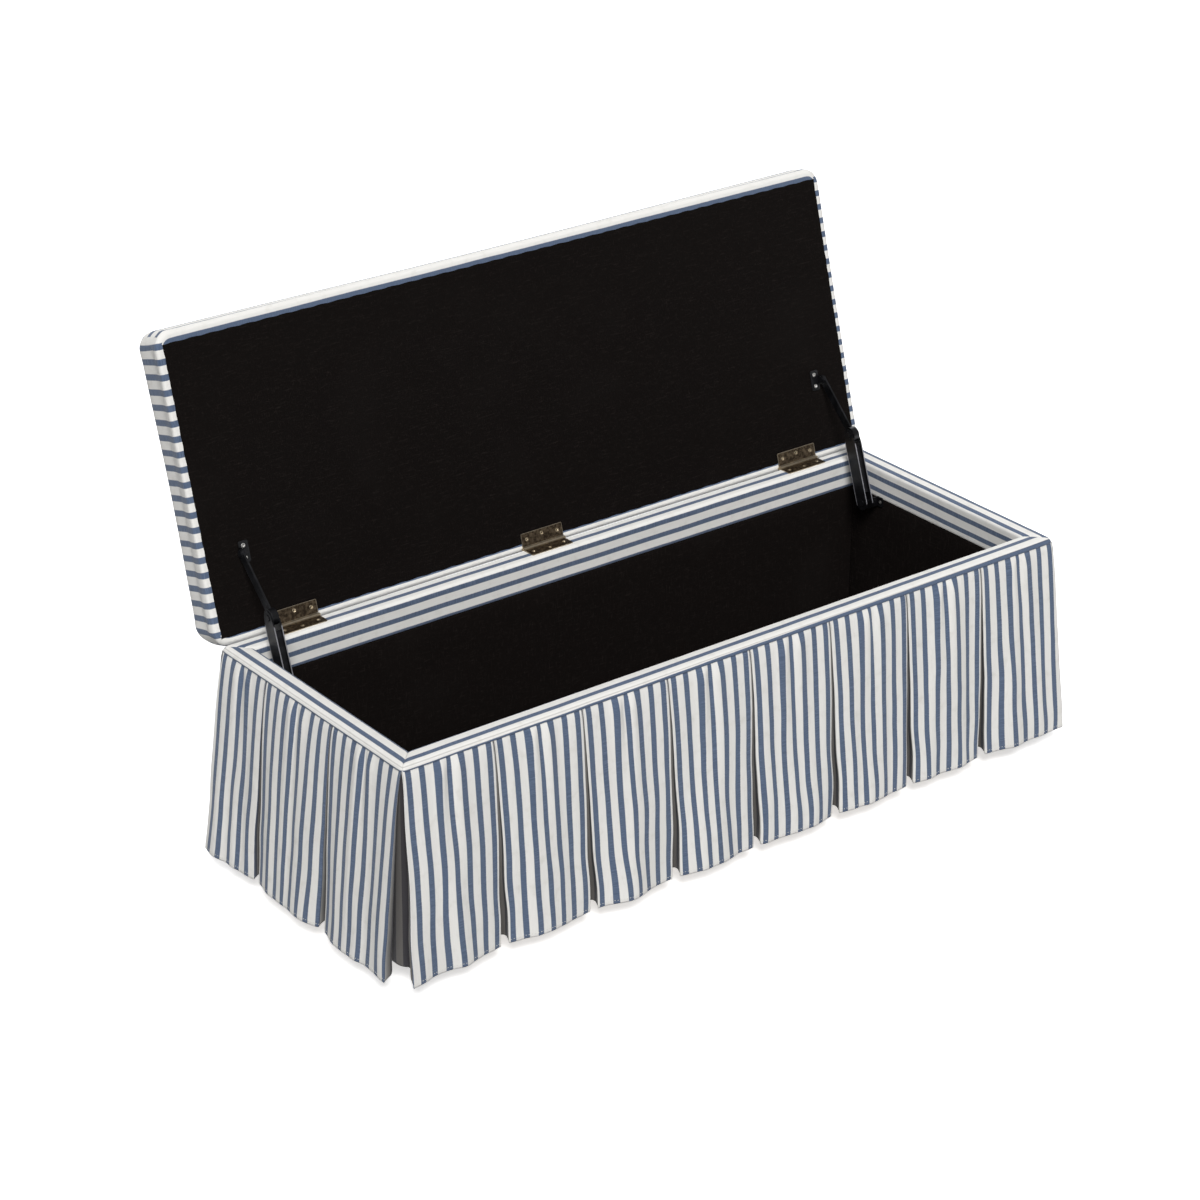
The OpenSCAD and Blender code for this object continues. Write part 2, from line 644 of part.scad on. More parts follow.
module lid_leaf(x) {
    color("darkgoldenrod") placed() on_lid() translate([x, 0, 0]) mirror([0, 0, 1]) leaf([1, 3], [0, 2, 4]);
}
module left_hinge_box_leaf() { box_leaf(-hinge_x); }
module middle_hinge_box_leaf() { box_leaf(hinge_mid_x); }
module right_hinge_box_leaf() { box_leaf(hinge_x); }
module left_hinge_lid_leaf() { lid_leaf(-hinge_x); }
module middle_hinge_lid_leaf() { lid_leaf(hinge_mid_x); }
module right_hinge_lid_leaf() { lid_leaf(hinge_x); }
pin_head_over = 0.8;
pin_head_len = 1.5;
module hinge_pins() {
    head_x = hinge_len / 2 + knuckle_gap;
    color("goldenrod") placed() from_axis() for (x = hinge_places) translate([x, 0, 0]) {
        rod(hinge_pin_r, -head_x - eps, head_x + eps);
        for (s = [0, 1]) mirror([s, 0, 0])
            rod(hinge_pin_r + pin_head_over, head_x, head_x + pin_head_len);
    }
}
module hinge_box_screws() {
    color("goldenrod") placed() at_box_leaf_screws() screw(screw_len);
}
module hinge_lid_screws() {
    color("goldenrod") placed() at_lid_leaf_screws() screw(screw_len);
}

// Folding stays, drawn for the right end and mirrored for the left one
module in_stay_plane(p, a) { translate([stay_x, p[0], p[1]]) rotate([a, 0, 0]) children(); }
// Hat-shaped bracket on the lining: two feet with a screw each and a bridge for the rivet
bracket_h = 16;
bracket_corner_r = 4;
bridge_half = 10;
foot_end = 6;
foot_half = box_bracket_gap / 2 + foot_end;
bridge_x = stay_x + channel_w / 2 + bracket_gap;
module box_bracket() {
    color("#222222") difference() {
        from_axis() translate([0, box_pivot[0], box_pivot[1]]) intersection() {
            union() {
                for (s = [0, 1]) mirror([0, s, 0]) {
                    translate([inner_x - bracket_t, bridge_half - bracket_t, -bracket_h / 2])
                        cube([bracket_t, foot_half - bridge_half + bracket_t, bracket_h]);
                    translate([bridge_x, bridge_half - bracket_t, -bracket_h / 2])
                        cube([inner_x - bridge_x, bracket_t, bracket_h]);
                }
                translate([bridge_x, -bridge_half, -bracket_h / 2])
                    cube([bracket_t, 2 * bridge_half, bracket_h]);
            }
            rotate([90, 0, 90]) linear_extrude(box_w)
                round_plate(2 * foot_half, bracket_h, bracket_corner_r);
        }
        from_axis() translate([0, box_pivot[0], box_pivot[1]]) rod(rivet_r + fit, 0, box_w);
        at_stay_box_screws() screw_hole(screw_len);
    }
}
module left_stay_box_bracket() { placed() left_one() box_bracket(); }
module right_stay_box_bracket() { placed() box_bracket(); }
// A rivet with a low round head at each end, or at the outer end alone
rivet_head_h = 1.6;
rivet_head_share = 1.8;
module rivet(x0, x1, heads) {
    rod(rivet_r, x0, x1);
    for (x = heads) translate([x, 0, 0]) rod(rivet_head_share * rivet_r, -eps, rivet_head_h);
}
module stay_box_rivets() {
    color("#333333") placed() each_side_of_bench() from_axis() in_stay_plane(box_pivot, 0)
        rivet(-channel_w / 2 - side_gap, channel_w / 2 + bracket_gap + bracket_t + rivet_head_h / 2,
            [-channel_w / 2 - side_gap - rivet_head_h, channel_w / 2 + bracket_gap + bracket_t + fit]);
}
module stay_box_screws() {
    color("silver") placed() each_side_of_bench() at_stay_box_screws() screw(screw_len);
}

// Lower arm: a folded channel, with its web a little back from its front edges
web_start = 16;
web_end = 20;
taper_len = 16;
elbow_share = 0.75;
module lower_arm() {
    color("#1c1c20") from_axis() in_stay_plane(box_pivot, lower_angle) difference() {
        union() {
            for (s = [0, 1]) mirror([s, 0, 0]) translate([channel_w / 2 - channel_wall, 0, 0])
                rotate([90, 0, 90]) linear_extrude(channel_wall) {
                    polygon([[0, -channel_back], [lower_len - taper_len, -channel_back],
                        [lower_len, -elbow_share * channel_back], [lower_len, elbow_share * channel_front],
                        [lower_len - taper_len, channel_front], [0, channel_front]]);
                    translate([lower_len, elbow_share * (channel_front - channel_back) / 2])
                        circle(elbow_share * (channel_front + channel_back) / 2);
                    translate([0, (channel_front - channel_back) / 2])
                        circle((channel_front + channel_back) / 2);
                }
            translate([-channel_w / 2 + eps, web_start, channel_front - web_back - channel_wall])
                cube([channel_w - 2 * eps, lower_len - web_start - web_end, channel_wall]);
        }
        rod(rivet_r + fit, -channel_w, channel_w);
        translate([0, lower_len, 0]) rod(rivet_r + fit, -channel_w, channel_w);
    }
}
module left_lower_arm() { placed() left_one() lower_arm(); }
module right_lower_arm() { placed() lower_arm(); }
module elbow_rivet() {
    color("#333333") from_axis() in_stay_plane(elbow, 0)
        rivet(-channel_w / 2 - rivet_head_h / 2, channel_w / 2 + rivet_head_h / 2,
            [-channel_w / 2 - rivet_head_h - fit, channel_w / 2 + fit]);
}
module left_elbow_rivet() { placed() left_one() elbow_rivet(); }
module right_elbow_rivet() { placed() elbow_rivet(); }

// Upper arm: a flat bar that is held in the elbow hub and has an eye at the lid
arm_start = 6;
module bar() {
    rotate([90, 0, 90]) linear_extrude(arm_t, center = true) {
        translate([arm_start, -arm_w / 2]) square([upper_len - arm_start, arm_w]);
        translate([upper_len, 0]) circle(arm_w / 2);
    }
}
module upper_arm() {
    color("#1c1c20") from_axis() in_stay_plane(elbow, upper_angle) difference() {
        bar();
        translate([0, upper_len, 0]) rod(rivet_r + fit, -arm_t, arm_t);
    }
}
module left_upper_arm() { placed() left_one() upper_arm(); }
module right_upper_arm() { placed() upper_arm(); }
module elbow_hub() {
    half = channel_w / 2 - channel_wall - side_gap;
    color("#111111") from_axis() in_stay_plane(elbow, upper_angle) difference() {
        rod(hub_r, -half, half);
        rod(rivet_r + fit, -channel_w, channel_w);
        bar();
    }
}
module left_elbow_hub() { placed() left_one() elbow_hub(); }
module right_elbow_hub() { placed() elbow_hub(); }
// The rivet at the lid turns with the arm and stops just short of the bracket's ear
module lid_rivet() {
    color("#333333") from_axis() in_stay_plane(lid_pivot, 0)
        rivet(-arm_t / 2, arm_t / 2 + rivet_head_h / 2, [arm_t / 2 + fit]);
}
module left_lid_rivet() { placed() left_one() lid_rivet(); }
module right_lid_rivet() { placed() lid_rivet(); }

// Lid bracket: a plate with two screws and an ear that hangs down beside the arm
ear_r = 7.5;
plate_end = 7;
plate_corner_r = 3;
module lid_bracket() {
    half = lid_bracket_gap / 2 + plate_end;
    color("#222222") difference() {
        on_lid() translate([lid_bracket_x, -stay_lid_reach, 0]) {
            translate([-lid_bracket_w / 2, 0, lid_under - bracket_t]) linear_extrude(bracket_t) {
                round_plate(lid_bracket_w, 2 * half, plate_corner_r);
                translate([0, plate_corner_r - half])
                    square([lid_bracket_w / 2, 2 * (half - plate_corner_r)]);
            }
            translate([-bracket_t, 0, 0]) rotate([90, 0, 90]) linear_extrude(bracket_t) {
                translate([-ear_r, -stay_lid_drop]) square([2 * ear_r, stay_lid_drop + lid_under]);
                translate([0, -stay_lid_drop]) circle(ear_r);
            }
            translate([-bracket_t - rivet_head_h, 0, -stay_lid_drop])
                rod(rivet_head_share * rivet_r, 0, rivet_head_h + eps);
        }
        at_stay_lid_screws() screw_hole(screw_len);
    }
}
module left_stay_lid_bracket() { placed() left_one() lid_bracket(); }
module right_stay_lid_bracket() { placed() lid_bracket(); }
module stay_lid_screws() {
    color("silver") placed() each_side_of_bench() at_stay_lid_screws() screw(screw_len);
}

front_panel();
back_panel();
left_panel();
right_panel();
bottom_board();
front_rail();
back_rail();
left_rail();
right_rail();
front_left_foot();
front_right_foot();
back_left_foot();
back_right_foot();
foot_glides();
foot_screws();
rim_foam();
rim_band_front();
rim_band_back();
rim_band_left();
rim_band_right();
skirt_front();
skirt_back();
skirt_left();
skirt_right();
lining_front();
lining_back();
lining_left();
lining_right();
lining_floor();
lid_board();
lid_foam();
lid_cover();
lid_dust_cover();
left_hinge_box_leaf();
middle_hinge_box_leaf();
right_hinge_box_leaf();
left_hinge_lid_leaf();
middle_hinge_lid_leaf();
right_hinge_lid_leaf();
hinge_pins();
hinge_box_screws();
hinge_lid_screws();
left_stay_box_bracket();
right_stay_box_bracket();
stay_box_rivets();
stay_box_screws();
left_lower_arm();
right_lower_arm();
left_elbow_rivet();
right_elbow_rivet();
left_elbow_hub();
right_elbow_hub();
left_upper_arm();
right_upper_arm();
left_lid_rivet();
right_lid_rivet();
left_stay_lid_bracket();
right_stay_lid_bracket();
stay_lid_screws();
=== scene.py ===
# %% [markdown]
# # An upholstered storage bench
# The bench is a long wooden box under a padded rim, a pleated skirt and a hinged cushion lid that
# two folding stays hold open. Everything outside is cream ticking with blue stripes, and
# everything inside is black cloth. The wood, hinges and stays come ready made from the CAD
# model, so most of this lesson is about cloth: where each stripe runs, and how each piece hangs.

# %% Load the model
import bpy
import json
import math
from mathutils import Matrix, Vector, noise


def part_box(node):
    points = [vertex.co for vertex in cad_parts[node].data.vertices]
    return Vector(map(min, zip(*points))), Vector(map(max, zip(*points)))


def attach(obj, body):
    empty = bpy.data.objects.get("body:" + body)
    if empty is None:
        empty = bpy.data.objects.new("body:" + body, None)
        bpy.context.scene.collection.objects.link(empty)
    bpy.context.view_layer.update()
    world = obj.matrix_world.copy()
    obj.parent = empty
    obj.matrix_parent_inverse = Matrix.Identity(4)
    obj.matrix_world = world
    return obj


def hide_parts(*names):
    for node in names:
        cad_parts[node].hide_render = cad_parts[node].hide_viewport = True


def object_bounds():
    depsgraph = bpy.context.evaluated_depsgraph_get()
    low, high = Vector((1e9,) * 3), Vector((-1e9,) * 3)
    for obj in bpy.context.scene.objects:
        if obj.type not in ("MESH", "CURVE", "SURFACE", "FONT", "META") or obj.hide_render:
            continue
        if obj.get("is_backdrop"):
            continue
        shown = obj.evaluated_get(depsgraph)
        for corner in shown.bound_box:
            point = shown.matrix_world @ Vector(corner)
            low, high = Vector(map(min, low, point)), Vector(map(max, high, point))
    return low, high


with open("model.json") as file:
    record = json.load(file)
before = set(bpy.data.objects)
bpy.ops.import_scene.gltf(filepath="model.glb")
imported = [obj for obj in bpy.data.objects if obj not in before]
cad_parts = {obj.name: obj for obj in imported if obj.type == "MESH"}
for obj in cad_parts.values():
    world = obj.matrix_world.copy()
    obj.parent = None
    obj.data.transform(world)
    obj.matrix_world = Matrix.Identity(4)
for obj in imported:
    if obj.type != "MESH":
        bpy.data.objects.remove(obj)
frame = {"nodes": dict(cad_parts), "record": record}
cad_low, cad_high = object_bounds()
joints = {joint["name"]: joint for joint in frame["record"]["behaviour"]["joints"]}
mm = 0.001
side_names = ("front", "right", "back", "left")


def new_mesh(name, points, edges=(), faces=()):
    mesh = bpy.data.meshes.new(name)
    mesh.from_pydata([tuple(p) for p in points], list(edges), list(faces))
    return mesh


def new_object(name, data):
    """An object around a mesh, a light or a camera, linked into the scene."""
    made = bpy.data.objects.new(name, data)
    bpy.context.collection.objects.link(made)
    return made


print("CAD nodes:", len(frame["nodes"]), "box:", [round(v, 3) for v in cad_high - cad_low])

# %% [markdown]
# ## Where things are
# A reader of a drawing first finds its reference points. Here they are the middle of the box,
# the rim's outer size and the hinge line, all read from the CAD model, so that a piece made
# below can't drift away from the wood that carries it.

# %% Reference points
front_band, back_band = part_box("rim_band_front"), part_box("rim_band_back")
rim_top = front_band[1].z
middle_y = (front_band[0].y + back_band[1].y) / 2
reach = [(back_band[1].y - front_band[0].y) / 2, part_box("rim_band_right")[1].x]
cover_t = 3 * mm
skirt_hem, skirt_top = (corner.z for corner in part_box("skirt_front"))
hinge = Vector(joints["lid_hinge"]["pos_m"])
lid_turn = math.radians(joints["lid_hinge"]["range_deg"][1])


def side_point(side, along, out, z):
    """A point of one side of the box: 0 front, 1 right, 2 back, 3 left; out is from the middle."""
    x, y = [(along, -out), (out, along), (-along, out), (-out, -along)][side]
    return Vector((x, middle_y + y, z))


def on_open_lid(point):
    """From the closed lid, measured from the hinge line, to the lid standing open."""
    x, y, z = point
    cos, sin = math.cos(lid_turn), math.sin(lid_turn)
    return Vector((x, y * cos + z * sin, z * cos - y * sin)) + hinge


print("rim", [round(2 * r, 3) for r in reach], "top", round(rim_top, 3))
print("lid turns", round(math.degrees(lid_turn), 1), "degrees")

# %% [markdown]
# ## Camera
# The photograph was taken from the front left, a little above the open lid, with a long lens.
# A camera can be aimed by a constraint or by a matrix. The matrix is used, built from the angle
# round the bench, the height angle and a small roll, since nothing then depends on the order in
# which Blender evaluates things.

# %% The photograph's view
azimuth, elevation, roll = (math.radians(a) for a in (-37.868, 25.848, 0.331))
distance, focal_length, film_width = 4.99066, 99.18, 36
aim_height, aim_left, aim_up = 0.2, 0.07645, 0.119546
back = Vector((math.sin(azimuth) * math.cos(elevation), -math.cos(azimuth) * math.cos(elevation),
               math.sin(elevation)))
right = Vector((math.cos(azimuth), math.sin(azimuth), 0))
up = back.cross(right)
right, up = right * math.cos(roll) + up * math.sin(roll), up * math.cos(roll) - right * math.sin(roll)
stand = Vector((0, middle_y, aim_height)) - right * aim_left + up * aim_up + back * distance
lens = bpy.data.cameras.new("photo_camera")
lens.lens, lens.sensor_width = focal_length, film_width
camera = new_object("photo_camera", lens)
rows = [(*row, place) for *row, place in zip(right, up, back, stand)]
camera.matrix_world = Matrix(rows + [(0, 0, 0, 1)])
bpy.context.scene.camera = camera
bpy.context.scene.view_settings.view_transform = "Standard"
print("camera at", [round(v, 3) for v in camera.matrix_world.translation])

# %% [markdown]
# ## Socket sums
# A shader is a sum written with boxes. Building it box by box is slow to read, so a small class
# wraps a socket and turns Python's own operators into Math nodes: `1 - mask` becomes one node.
# A second class holds one finish, with a method for each kind of step that the finishes share.

# %% Nodes and wires
def sums(operation):
    """What a wire does with a value on its right, and with a value on its left."""
    return (lambda wire, other: wire.finish.math(operation, wire, other),
            lambda wire, other: wire.finish.math(operation, other, wire))


class Wire:
    """An output socket of a finish. Sums on it add Math nodes."""

    def __init__(self, finish, socket):
        self.finish, self.socket = finish, socket

    def __getitem__(self, output):
        return Wire(self.finish, self.socket.node.outputs[output])

    def __abs__(self):
        return self.finish.math("ABSOLUTE", self)

    __add__, __radd__ = sums("ADD")
    __sub__, __rsub__ = sums("SUBTRACT")
    __mul__, __rmul__ = sums("MULTIPLY")
    __truediv__, __rtruediv__ = sums("DIVIDE")


def feed(tree, socket, value):
    """Links a socket to a wire or another socket, or gives it a fixed value."""
    source = value.socket if isinstance(value, Wire) else value
    if isinstance(source, bpy.types.NodeSocket):
        tree.links.new(source, socket)
    else:
        socket.default_value = source


def add_node(tree, kind, inputs, settings):
    """Any node of a tree: its type, what goes into its sockets, and its settings."""
    made = tree.nodes.new(kind)
    for key, value in settings.items():
        setattr(made, key, value)
    for key, value in inputs.items():
        feed(tree, made.inputs[key], value)
    return made


print("a wire can do:", [name.strip("_") for name in vars(Wire) if name.startswith("__r")])

# %% Finish
class Finish:
    """One material, made node by node around its Principled shader."""

    def __init__(self, name, **fixed):
        self.material = bpy.data.materials.new(name)
        self.material.use_nodes = True
        self.tree = self.material.node_tree
        self.paint(**fixed)

    def node(self, kind, inputs={}, **settings):
        made = add_node(self.tree, "ShaderNode" + kind, inputs, settings)
        return Wire(self, next(o for o in made.outputs if o.enabled))

    def math(self, operation, *values):
        return self.node("Math", dict(enumerate(values)), operation=operation)

    def step(self, value, low, high):
        """0 below low, 1 above high and a soft change between."""
        return self.node("MapRange", {"Value": value, "From Min": low, "From Max": high},
                         interpolation_type="SMOOTHSTEP")

    def mix(self, share, one, other):
        """Two colours mixed; share is 0 for the first and 1 for the other."""
        colours = {i: (*c, 1) if isinstance(c, tuple) else c for i, c in ((6, one), (7, other))}
        return self.node("Mix", {0: share, **colours}, data_type="RGBA")

    def vector(self, operation, one, other):
        return self.node("VectorMath", {0: one, 1: other}, operation=operation)

    def room(self):
        """Places in the room, so that grain runs on from one piece to the next."""
        return self.node("TexCoord")["Object"]

    def spots(self, place, scale, stretch=(1, 1, 1), detail=2.0, rough=0.5):
        """Noise from 0 to 1, as many spots to the metre as scale says, drawn out by stretch."""
        drawn = self.vector("MULTIPLY", place, tuple(scale * s for s in stretch))
        return self.node("TexNoise", {"Vector": drawn, "Scale": 1.0, "Detail": detail, "Roughness": rough})

    def axis(self, vector, letter):
        return self.node("SeparateXYZ", {"Vector": vector})[letter]

    def bump(self, height, depth, strength=1.0, under=None):
        below = {} if under is None else {"Normal": under}
        return self.node("Bump", {"Height": height, "Distance": depth, "Strength": strength} | below)

    def paint(self, **sockets):
        """Feeds the shader's sockets, named like base_color, and returns the material."""
        for socket, value in sockets.items():
            label = socket.replace("_", " ").title().replace("Ior", "IOR")
            feed(self.tree, self.tree.nodes["Principled BSDF"].inputs[label], value)
        return self.material


print("a finish has", [name for name in vars(Finish) if not name.startswith("_")])

# %% [markdown]
# ## Striped ticking
# Ticking is a close cotton twill with blue warp threads in a cream cloth. An image would do, but
# here the stripe is worked out from the cloth's own coordinates: every cloth piece below gets a
# UV map called "cloth" in metres, U across the stripes and V along them. Noise drawn out along
# the threads frays the stripe's edge, flecks the blue with cream and lifts the weave. A second
# map, "depth", holds painted shade: how far the colour is darkened towards near black where a
# point lies in a fold, in a crease or under the rim's edge.

# %% Ticking
stripe_pitch, stripe_width, fray = 22.3 * mm, 9.4 * mm, 0.55 * mm
cream_threads, cream_cloud = ((0.74, 0.725, 0.69), (0.89, 0.88, 0.855)), (0.66, 0.64, 0.59)
blue_threads, painted_shade_colour = ((0.066, 0.098, 0.165), (0.135, 0.182, 0.275)), (0.030, 0.022, 0.018)


def ticking(name, pitch=stripe_pitch, width=stripe_width, folded=False):
    cloth = Finish(name, sheen_weight=0.12, sheen_roughness=0.6, specular_ior_level=0.25)
    place = cloth.node("UVMap", uv_map="cloth")
    warp = cloth.spots(place, 1, (1500, 45, 1), 3)
    weft = cloth.spots(place, 1, (60, 1500, 1), 3)
    drift = cloth.spots(place, 9)
    wander = cloth.axis(place, "X") + (drift - 0.5) * (1.6 * mm) + (weft - 0.5) * (0.9 * mm)
    turn = cloth.math("FRACT", wander / pitch + 0.5)
    blue = 1 - cloth.step(abs(turn - 0.5) * pitch, width / 2 - fray, width / 2 + fray)
    cloudy = cloth.spots(place, 55, detail=4)
    cream = cloth.mix(warp, *cream_threads)
    cream_side = cloth.mix(cloth.step(cloudy, 0.5, 0.8) * 0.5, cream, cream_cloud)
    colour = cloth.mix(blue, cream_side, cloth.mix(cloth.step(weft, 0.35, 0.75), *blue_threads))
    # Painted shade: the "depth" map mixes the colour towards near black in folds and creases.
    if folded:
        depth = cloth.axis(cloth.node("UVMap", uv_map="depth"), "X")
        colour = cloth.mix(depth, colour, cloth.mix(0.92, colour, painted_shade_colour))
    weave = cloth.bump(warp + weft, 0.35 * mm, 0.6)
    soft = cloth.bump(cloth.spots(place, 38, detail=3), 1.1 * mm, 0.5, weave)
    return cloth.paint(base_color=colour, roughness=0.78 + weft * 0.2, normal=soft)


ticking_cloth = ticking("striped_ticking")
rim_cloth = ticking("striped_ticking_on_the_rim", 21 * mm, 8 * mm, folded=True)
skirt_cloth = ticking("striped_ticking_with_folds", folded=True)
print("a stripe every", round(stripe_pitch / mm, 1), "mm")

# %% [markdown]
# ## Black lining
# The lining is a plain black woven cloth that takes the light only in its slubs, the thick
# places of its threads. It has no pattern to follow, so it reads Object coordinates, and three
# drawn-out noises stand for threads that run along the three directions.

# %% Lining cloth
def lining_cloth(name, lift):
    """Black cloth; lift scales how light its threads are."""
    ground, slub_tone, worn_tone = (tuple(lift * c for c in tone) for tone in (
        (0.0075, 0.0056, 0.0050), (0.030, 0.0235, 0.0212), (0.014, 0.0115, 0.0105)))
    cloth = Finish(name, specular_ior_level=0.06)
    place = cloth.room()
    lengthwise = cloth.spots(place, 1, (60, 720, 720), 3)
    upright = cloth.spots(place, 1, (720, 720, 60), 3)
    inward = cloth.spots(place, 1, (720, 60, 720), 3)
    slub = cloth.step(lengthwise, 0.56, 0.74) + cloth.step(upright, 0.56, 0.74)
    slub += cloth.step(inward, 0.58, 0.76)
    dust = cloth.spots(place, 7, detail=4)
    woven = cloth.mix(slub * 0.5, ground, slub_tone)
    worn = cloth.mix(cloth.step(dust, 0.5, 0.75) * 0.3, woven, worn_tone)
    weave = cloth.bump(lengthwise + upright + inward, 0.4 * mm, 0.7)
    return cloth.paint(base_color=worn, roughness=0.86 + dust * 0.1, normal=weave)


black_cloth = lining_cloth("black_lining_cloth", 0.85)
dust_cloth = lining_cloth("black_dust_cloth", 0.6)
print("lining cloth made")

# %% [markdown]
# ## Woods
# Plywood, pine and the stained feet differ in colour and in how tight their grain is, so one
# recipe serves all three. Grain is noise drawn out along one direction, and a second, finer one
# adds pores. The boards are hidden in use and only show from below.

# %% Wood finishes
def wood(name, light, dark, along, rings=26, rough=0.6, coat=0.0):
    board = Finish(name, coat_weight=coat)
    place = board.room()
    stretch = tuple(0.06 if axis == along else 1.0 for axis in "xyz")
    figure = board.spots(place, rings, stretch, 5, 0.6)
    bands = board.math("SINE", figure * 34.0) * 0.5 + 0.5
    pores = board.spots(place, 900, stretch, 2)
    grain = board.mix(bands * 0.7, light, dark)
    colour = board.mix(board.step(pores, 0.6, 0.75) * 0.5, grain, tuple(0.45 * c for c in dark))
    height = board.bump(bands + pores, 0.2 * mm, 0.4)
    return board.paint(base_color=colour, roughness=rough + bands * 0.12, normal=height)


plywood = wood("raw_plywood", (0.60, 0.43, 0.25), (0.42, 0.27, 0.14), "x")
pine = wood("planed_pine", (0.66, 0.47, 0.27), (0.47, 0.29, 0.14), "x", 40)
foot_wood = wood("stained_feet", (0.045, 0.022, 0.012), (0.016, 0.008, 0.005), "z", 30, 0.38, 0.25)
print("three woods made")

# %% [markdown]
# ## Metals
# Antique brass is brown where the dark finish stays and yellow where hands and lids rub it off:
# the barrel and the edges of a leaf. A wear mask could come from the mesh, but CAD triangles are
# flat shaded and give a poor one. The masks here are distances, worked out from the hinge line
# and from the line of each arm, so they sit exactly on the edges they belong to. On the lower
# arms of the stays the bright edges are a painted highlight along the bends as well as wear.

# %% Brass of one hinge
hinge_names = ("left", "middle", "right")
leaves = [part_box(name + "_hinge_box_leaf") for name in hinge_names]
hinge_places = [(low.x + high.x) / 2 for low, high in leaves]
hinge_half = (leaves[0][1].x - leaves[0][0].x) / 2
leaf_reach = hinge.y - leaves[0][0].y


def antique_brass(name, centre_x):
    brass = Finish(name, metallic=1.0)
    place = brass.room()
    part = brass.vector("SUBTRACT", place, (centre_x, hinge.y, hinge.z))
    y, z = brass.axis(part, "Y"), brass.axis(part, "Z")
    away = brass.math("SQRT", y * y + z * z)
    mottle = brass.spots(place, 190, detail=5, rough=0.65)
    scratch = brass.spots(place, 1, (120, 1500, 1500), 2)
    barrel = 1 - brass.step(away, 3.0 * mm, 4.2 * mm)
    rim = brass.step(abs(brass.axis(part, "X")), hinge_half - 1.6 * mm, hinge_half - 0.3 * mm)
    rim = brass.math("MAXIMUM", rim, brass.step(away, leaf_reach - 1.6 * mm, leaf_reach - 0.3 * mm))
    wear = brass.math("MAXIMUM", barrel, rim * 0.8) * (0.45 + 0.75 * mottle)
    brown = brass.mix(brass.step(mottle, 0.36, 0.66), (0.065, 0.047, 0.032), (0.23, 0.175, 0.115))
    return brass.paint(base_color=brass.mix(wear, brown, (0.60, 0.51, 0.38)),
                       roughness=0.4 - 0.18 * wear + 0.2 * scratch,
                       normal=brass.bump(mottle + 0.4 * scratch, 0.15 * mm, 0.35))


brass_of = {name: antique_brass("antique_brass_" + name, centre_x)
            for name, centre_x in zip(hinge_names, hinge_places)}
print("hinges at", [round(x, 3) for x in hinge_places])

# %% Black steel of the stays
foot_pivot, elbow_pivot = (Vector(joints["right_stay_" + n]["pos_m"]) for n in ("foot", "elbow"))
arm_way = (elbow_pivot - foot_pivot).normalized()
arm_front = Vector((0, -arm_way.z, arm_way.y))
channel_half = 12 * mm


def black_steel(name, wear_and_highlight=False):
    """Black lacquer; on the two edges of the lower arms, where asked for, painted highlight and wear make
    it bright.
    """
    steel = Finish(name, metallic=0.55, coat_roughness=0.25)
    place = steel.room()
    orange = steel.spots(place, 420, detail=2)
    dust = steel.spots(place, 60, detail=4)
    colour = steel.mix(steel.step(dust, 0.45, 0.75), (0.006, 0.0062, 0.0078), (0.017, 0.0175, 0.021))
    if wear_and_highlight:
        # Painted highlight and wear: the two edges of the channel are made light, for the light its bends
        # catch and for lacquer rubbed off.
        moved = steel.vector("SUBTRACT", place, tuple(foot_pivot))
        out = steel.vector("DOT_PRODUCT", moved, tuple(arm_front))["Value"]
        edge = steel.step(abs(out), channel_half - 0.7 * mm, channel_half - 0.1 * mm)
        colour = steel.mix(edge * (0.35 + 0.75 * dust), colour, (0.46, 0.46, 0.50))
    return steel.paint(base_color=colour, roughness=0.36 + 0.16 * dust, coat_weight=0.25 * dust + 0.1,
                       normal=steel.bump(orange, 0.1 * mm, 0.25))


flat_black = black_steel("black_lacquered_steel")
channel_black = black_steel("black_channel", wear_and_highlight=True)
print("arm leans", round(math.degrees(math.atan2(arm_way.z, arm_way.y)), 1), "degrees")

# %% Plain finishes
def plain_grain(name, light, dark, spots, depth, metal=0.0, rough=0.5, detail=4, strength=0.5):
    """Two colours in fine grains, for stuff without a direction."""
    stuff = Finish(name, metallic=metal)
    grain = stuff.spots(stuff.room(), spots, detail=detail)
    return stuff.paint(base_color=stuff.mix(stuff.step(grain, 0.35, 0.65), light, dark),
                       roughness=rough + 0.2 * grain, normal=stuff.bump(grain, depth, strength))


zinc = plain_grain("zinc_plated_steel", (0.62, 0.61, 0.58), (0.40, 0.39, 0.37), 300, 0.05 * mm, 1.0, 0.28)
foam_stuff = plain_grain("open_foam", (0.80, 0.74, 0.58), (0.62, 0.56, 0.41), 900, 0.6 * mm, 0.0, 0.85)
glide_stuff = plain_grain("glide_plastic", (0.035, 0.035, 0.035), (0.02, 0.02, 0.02), 500, 0.1 * mm)
brass_screw, steel_screw = (
    plain_grain(name, light, dark, 700, 0.08 * mm, 1.0, 0.28, 3, 0.3)
    for name, light, dark in (("brass_screw", (0.66, 0.56, 0.40), (0.42, 0.33, 0.21)),
                              ("steel_screw", (0.70, 0.69, 0.66), (0.44, 0.43, 0.42))))
print("finishes so far:", len(bpy.data.materials))

# %% [markdown]
# ## Cloth grids
# Almost every soft piece is a sheet bent into a shape, which is a grid of points. One helper
# turns rows of points into a mesh with its cloth coordinates; a Solidify modifier gives the
# sheet its thickness and a Subdivision modifier its smoothness.

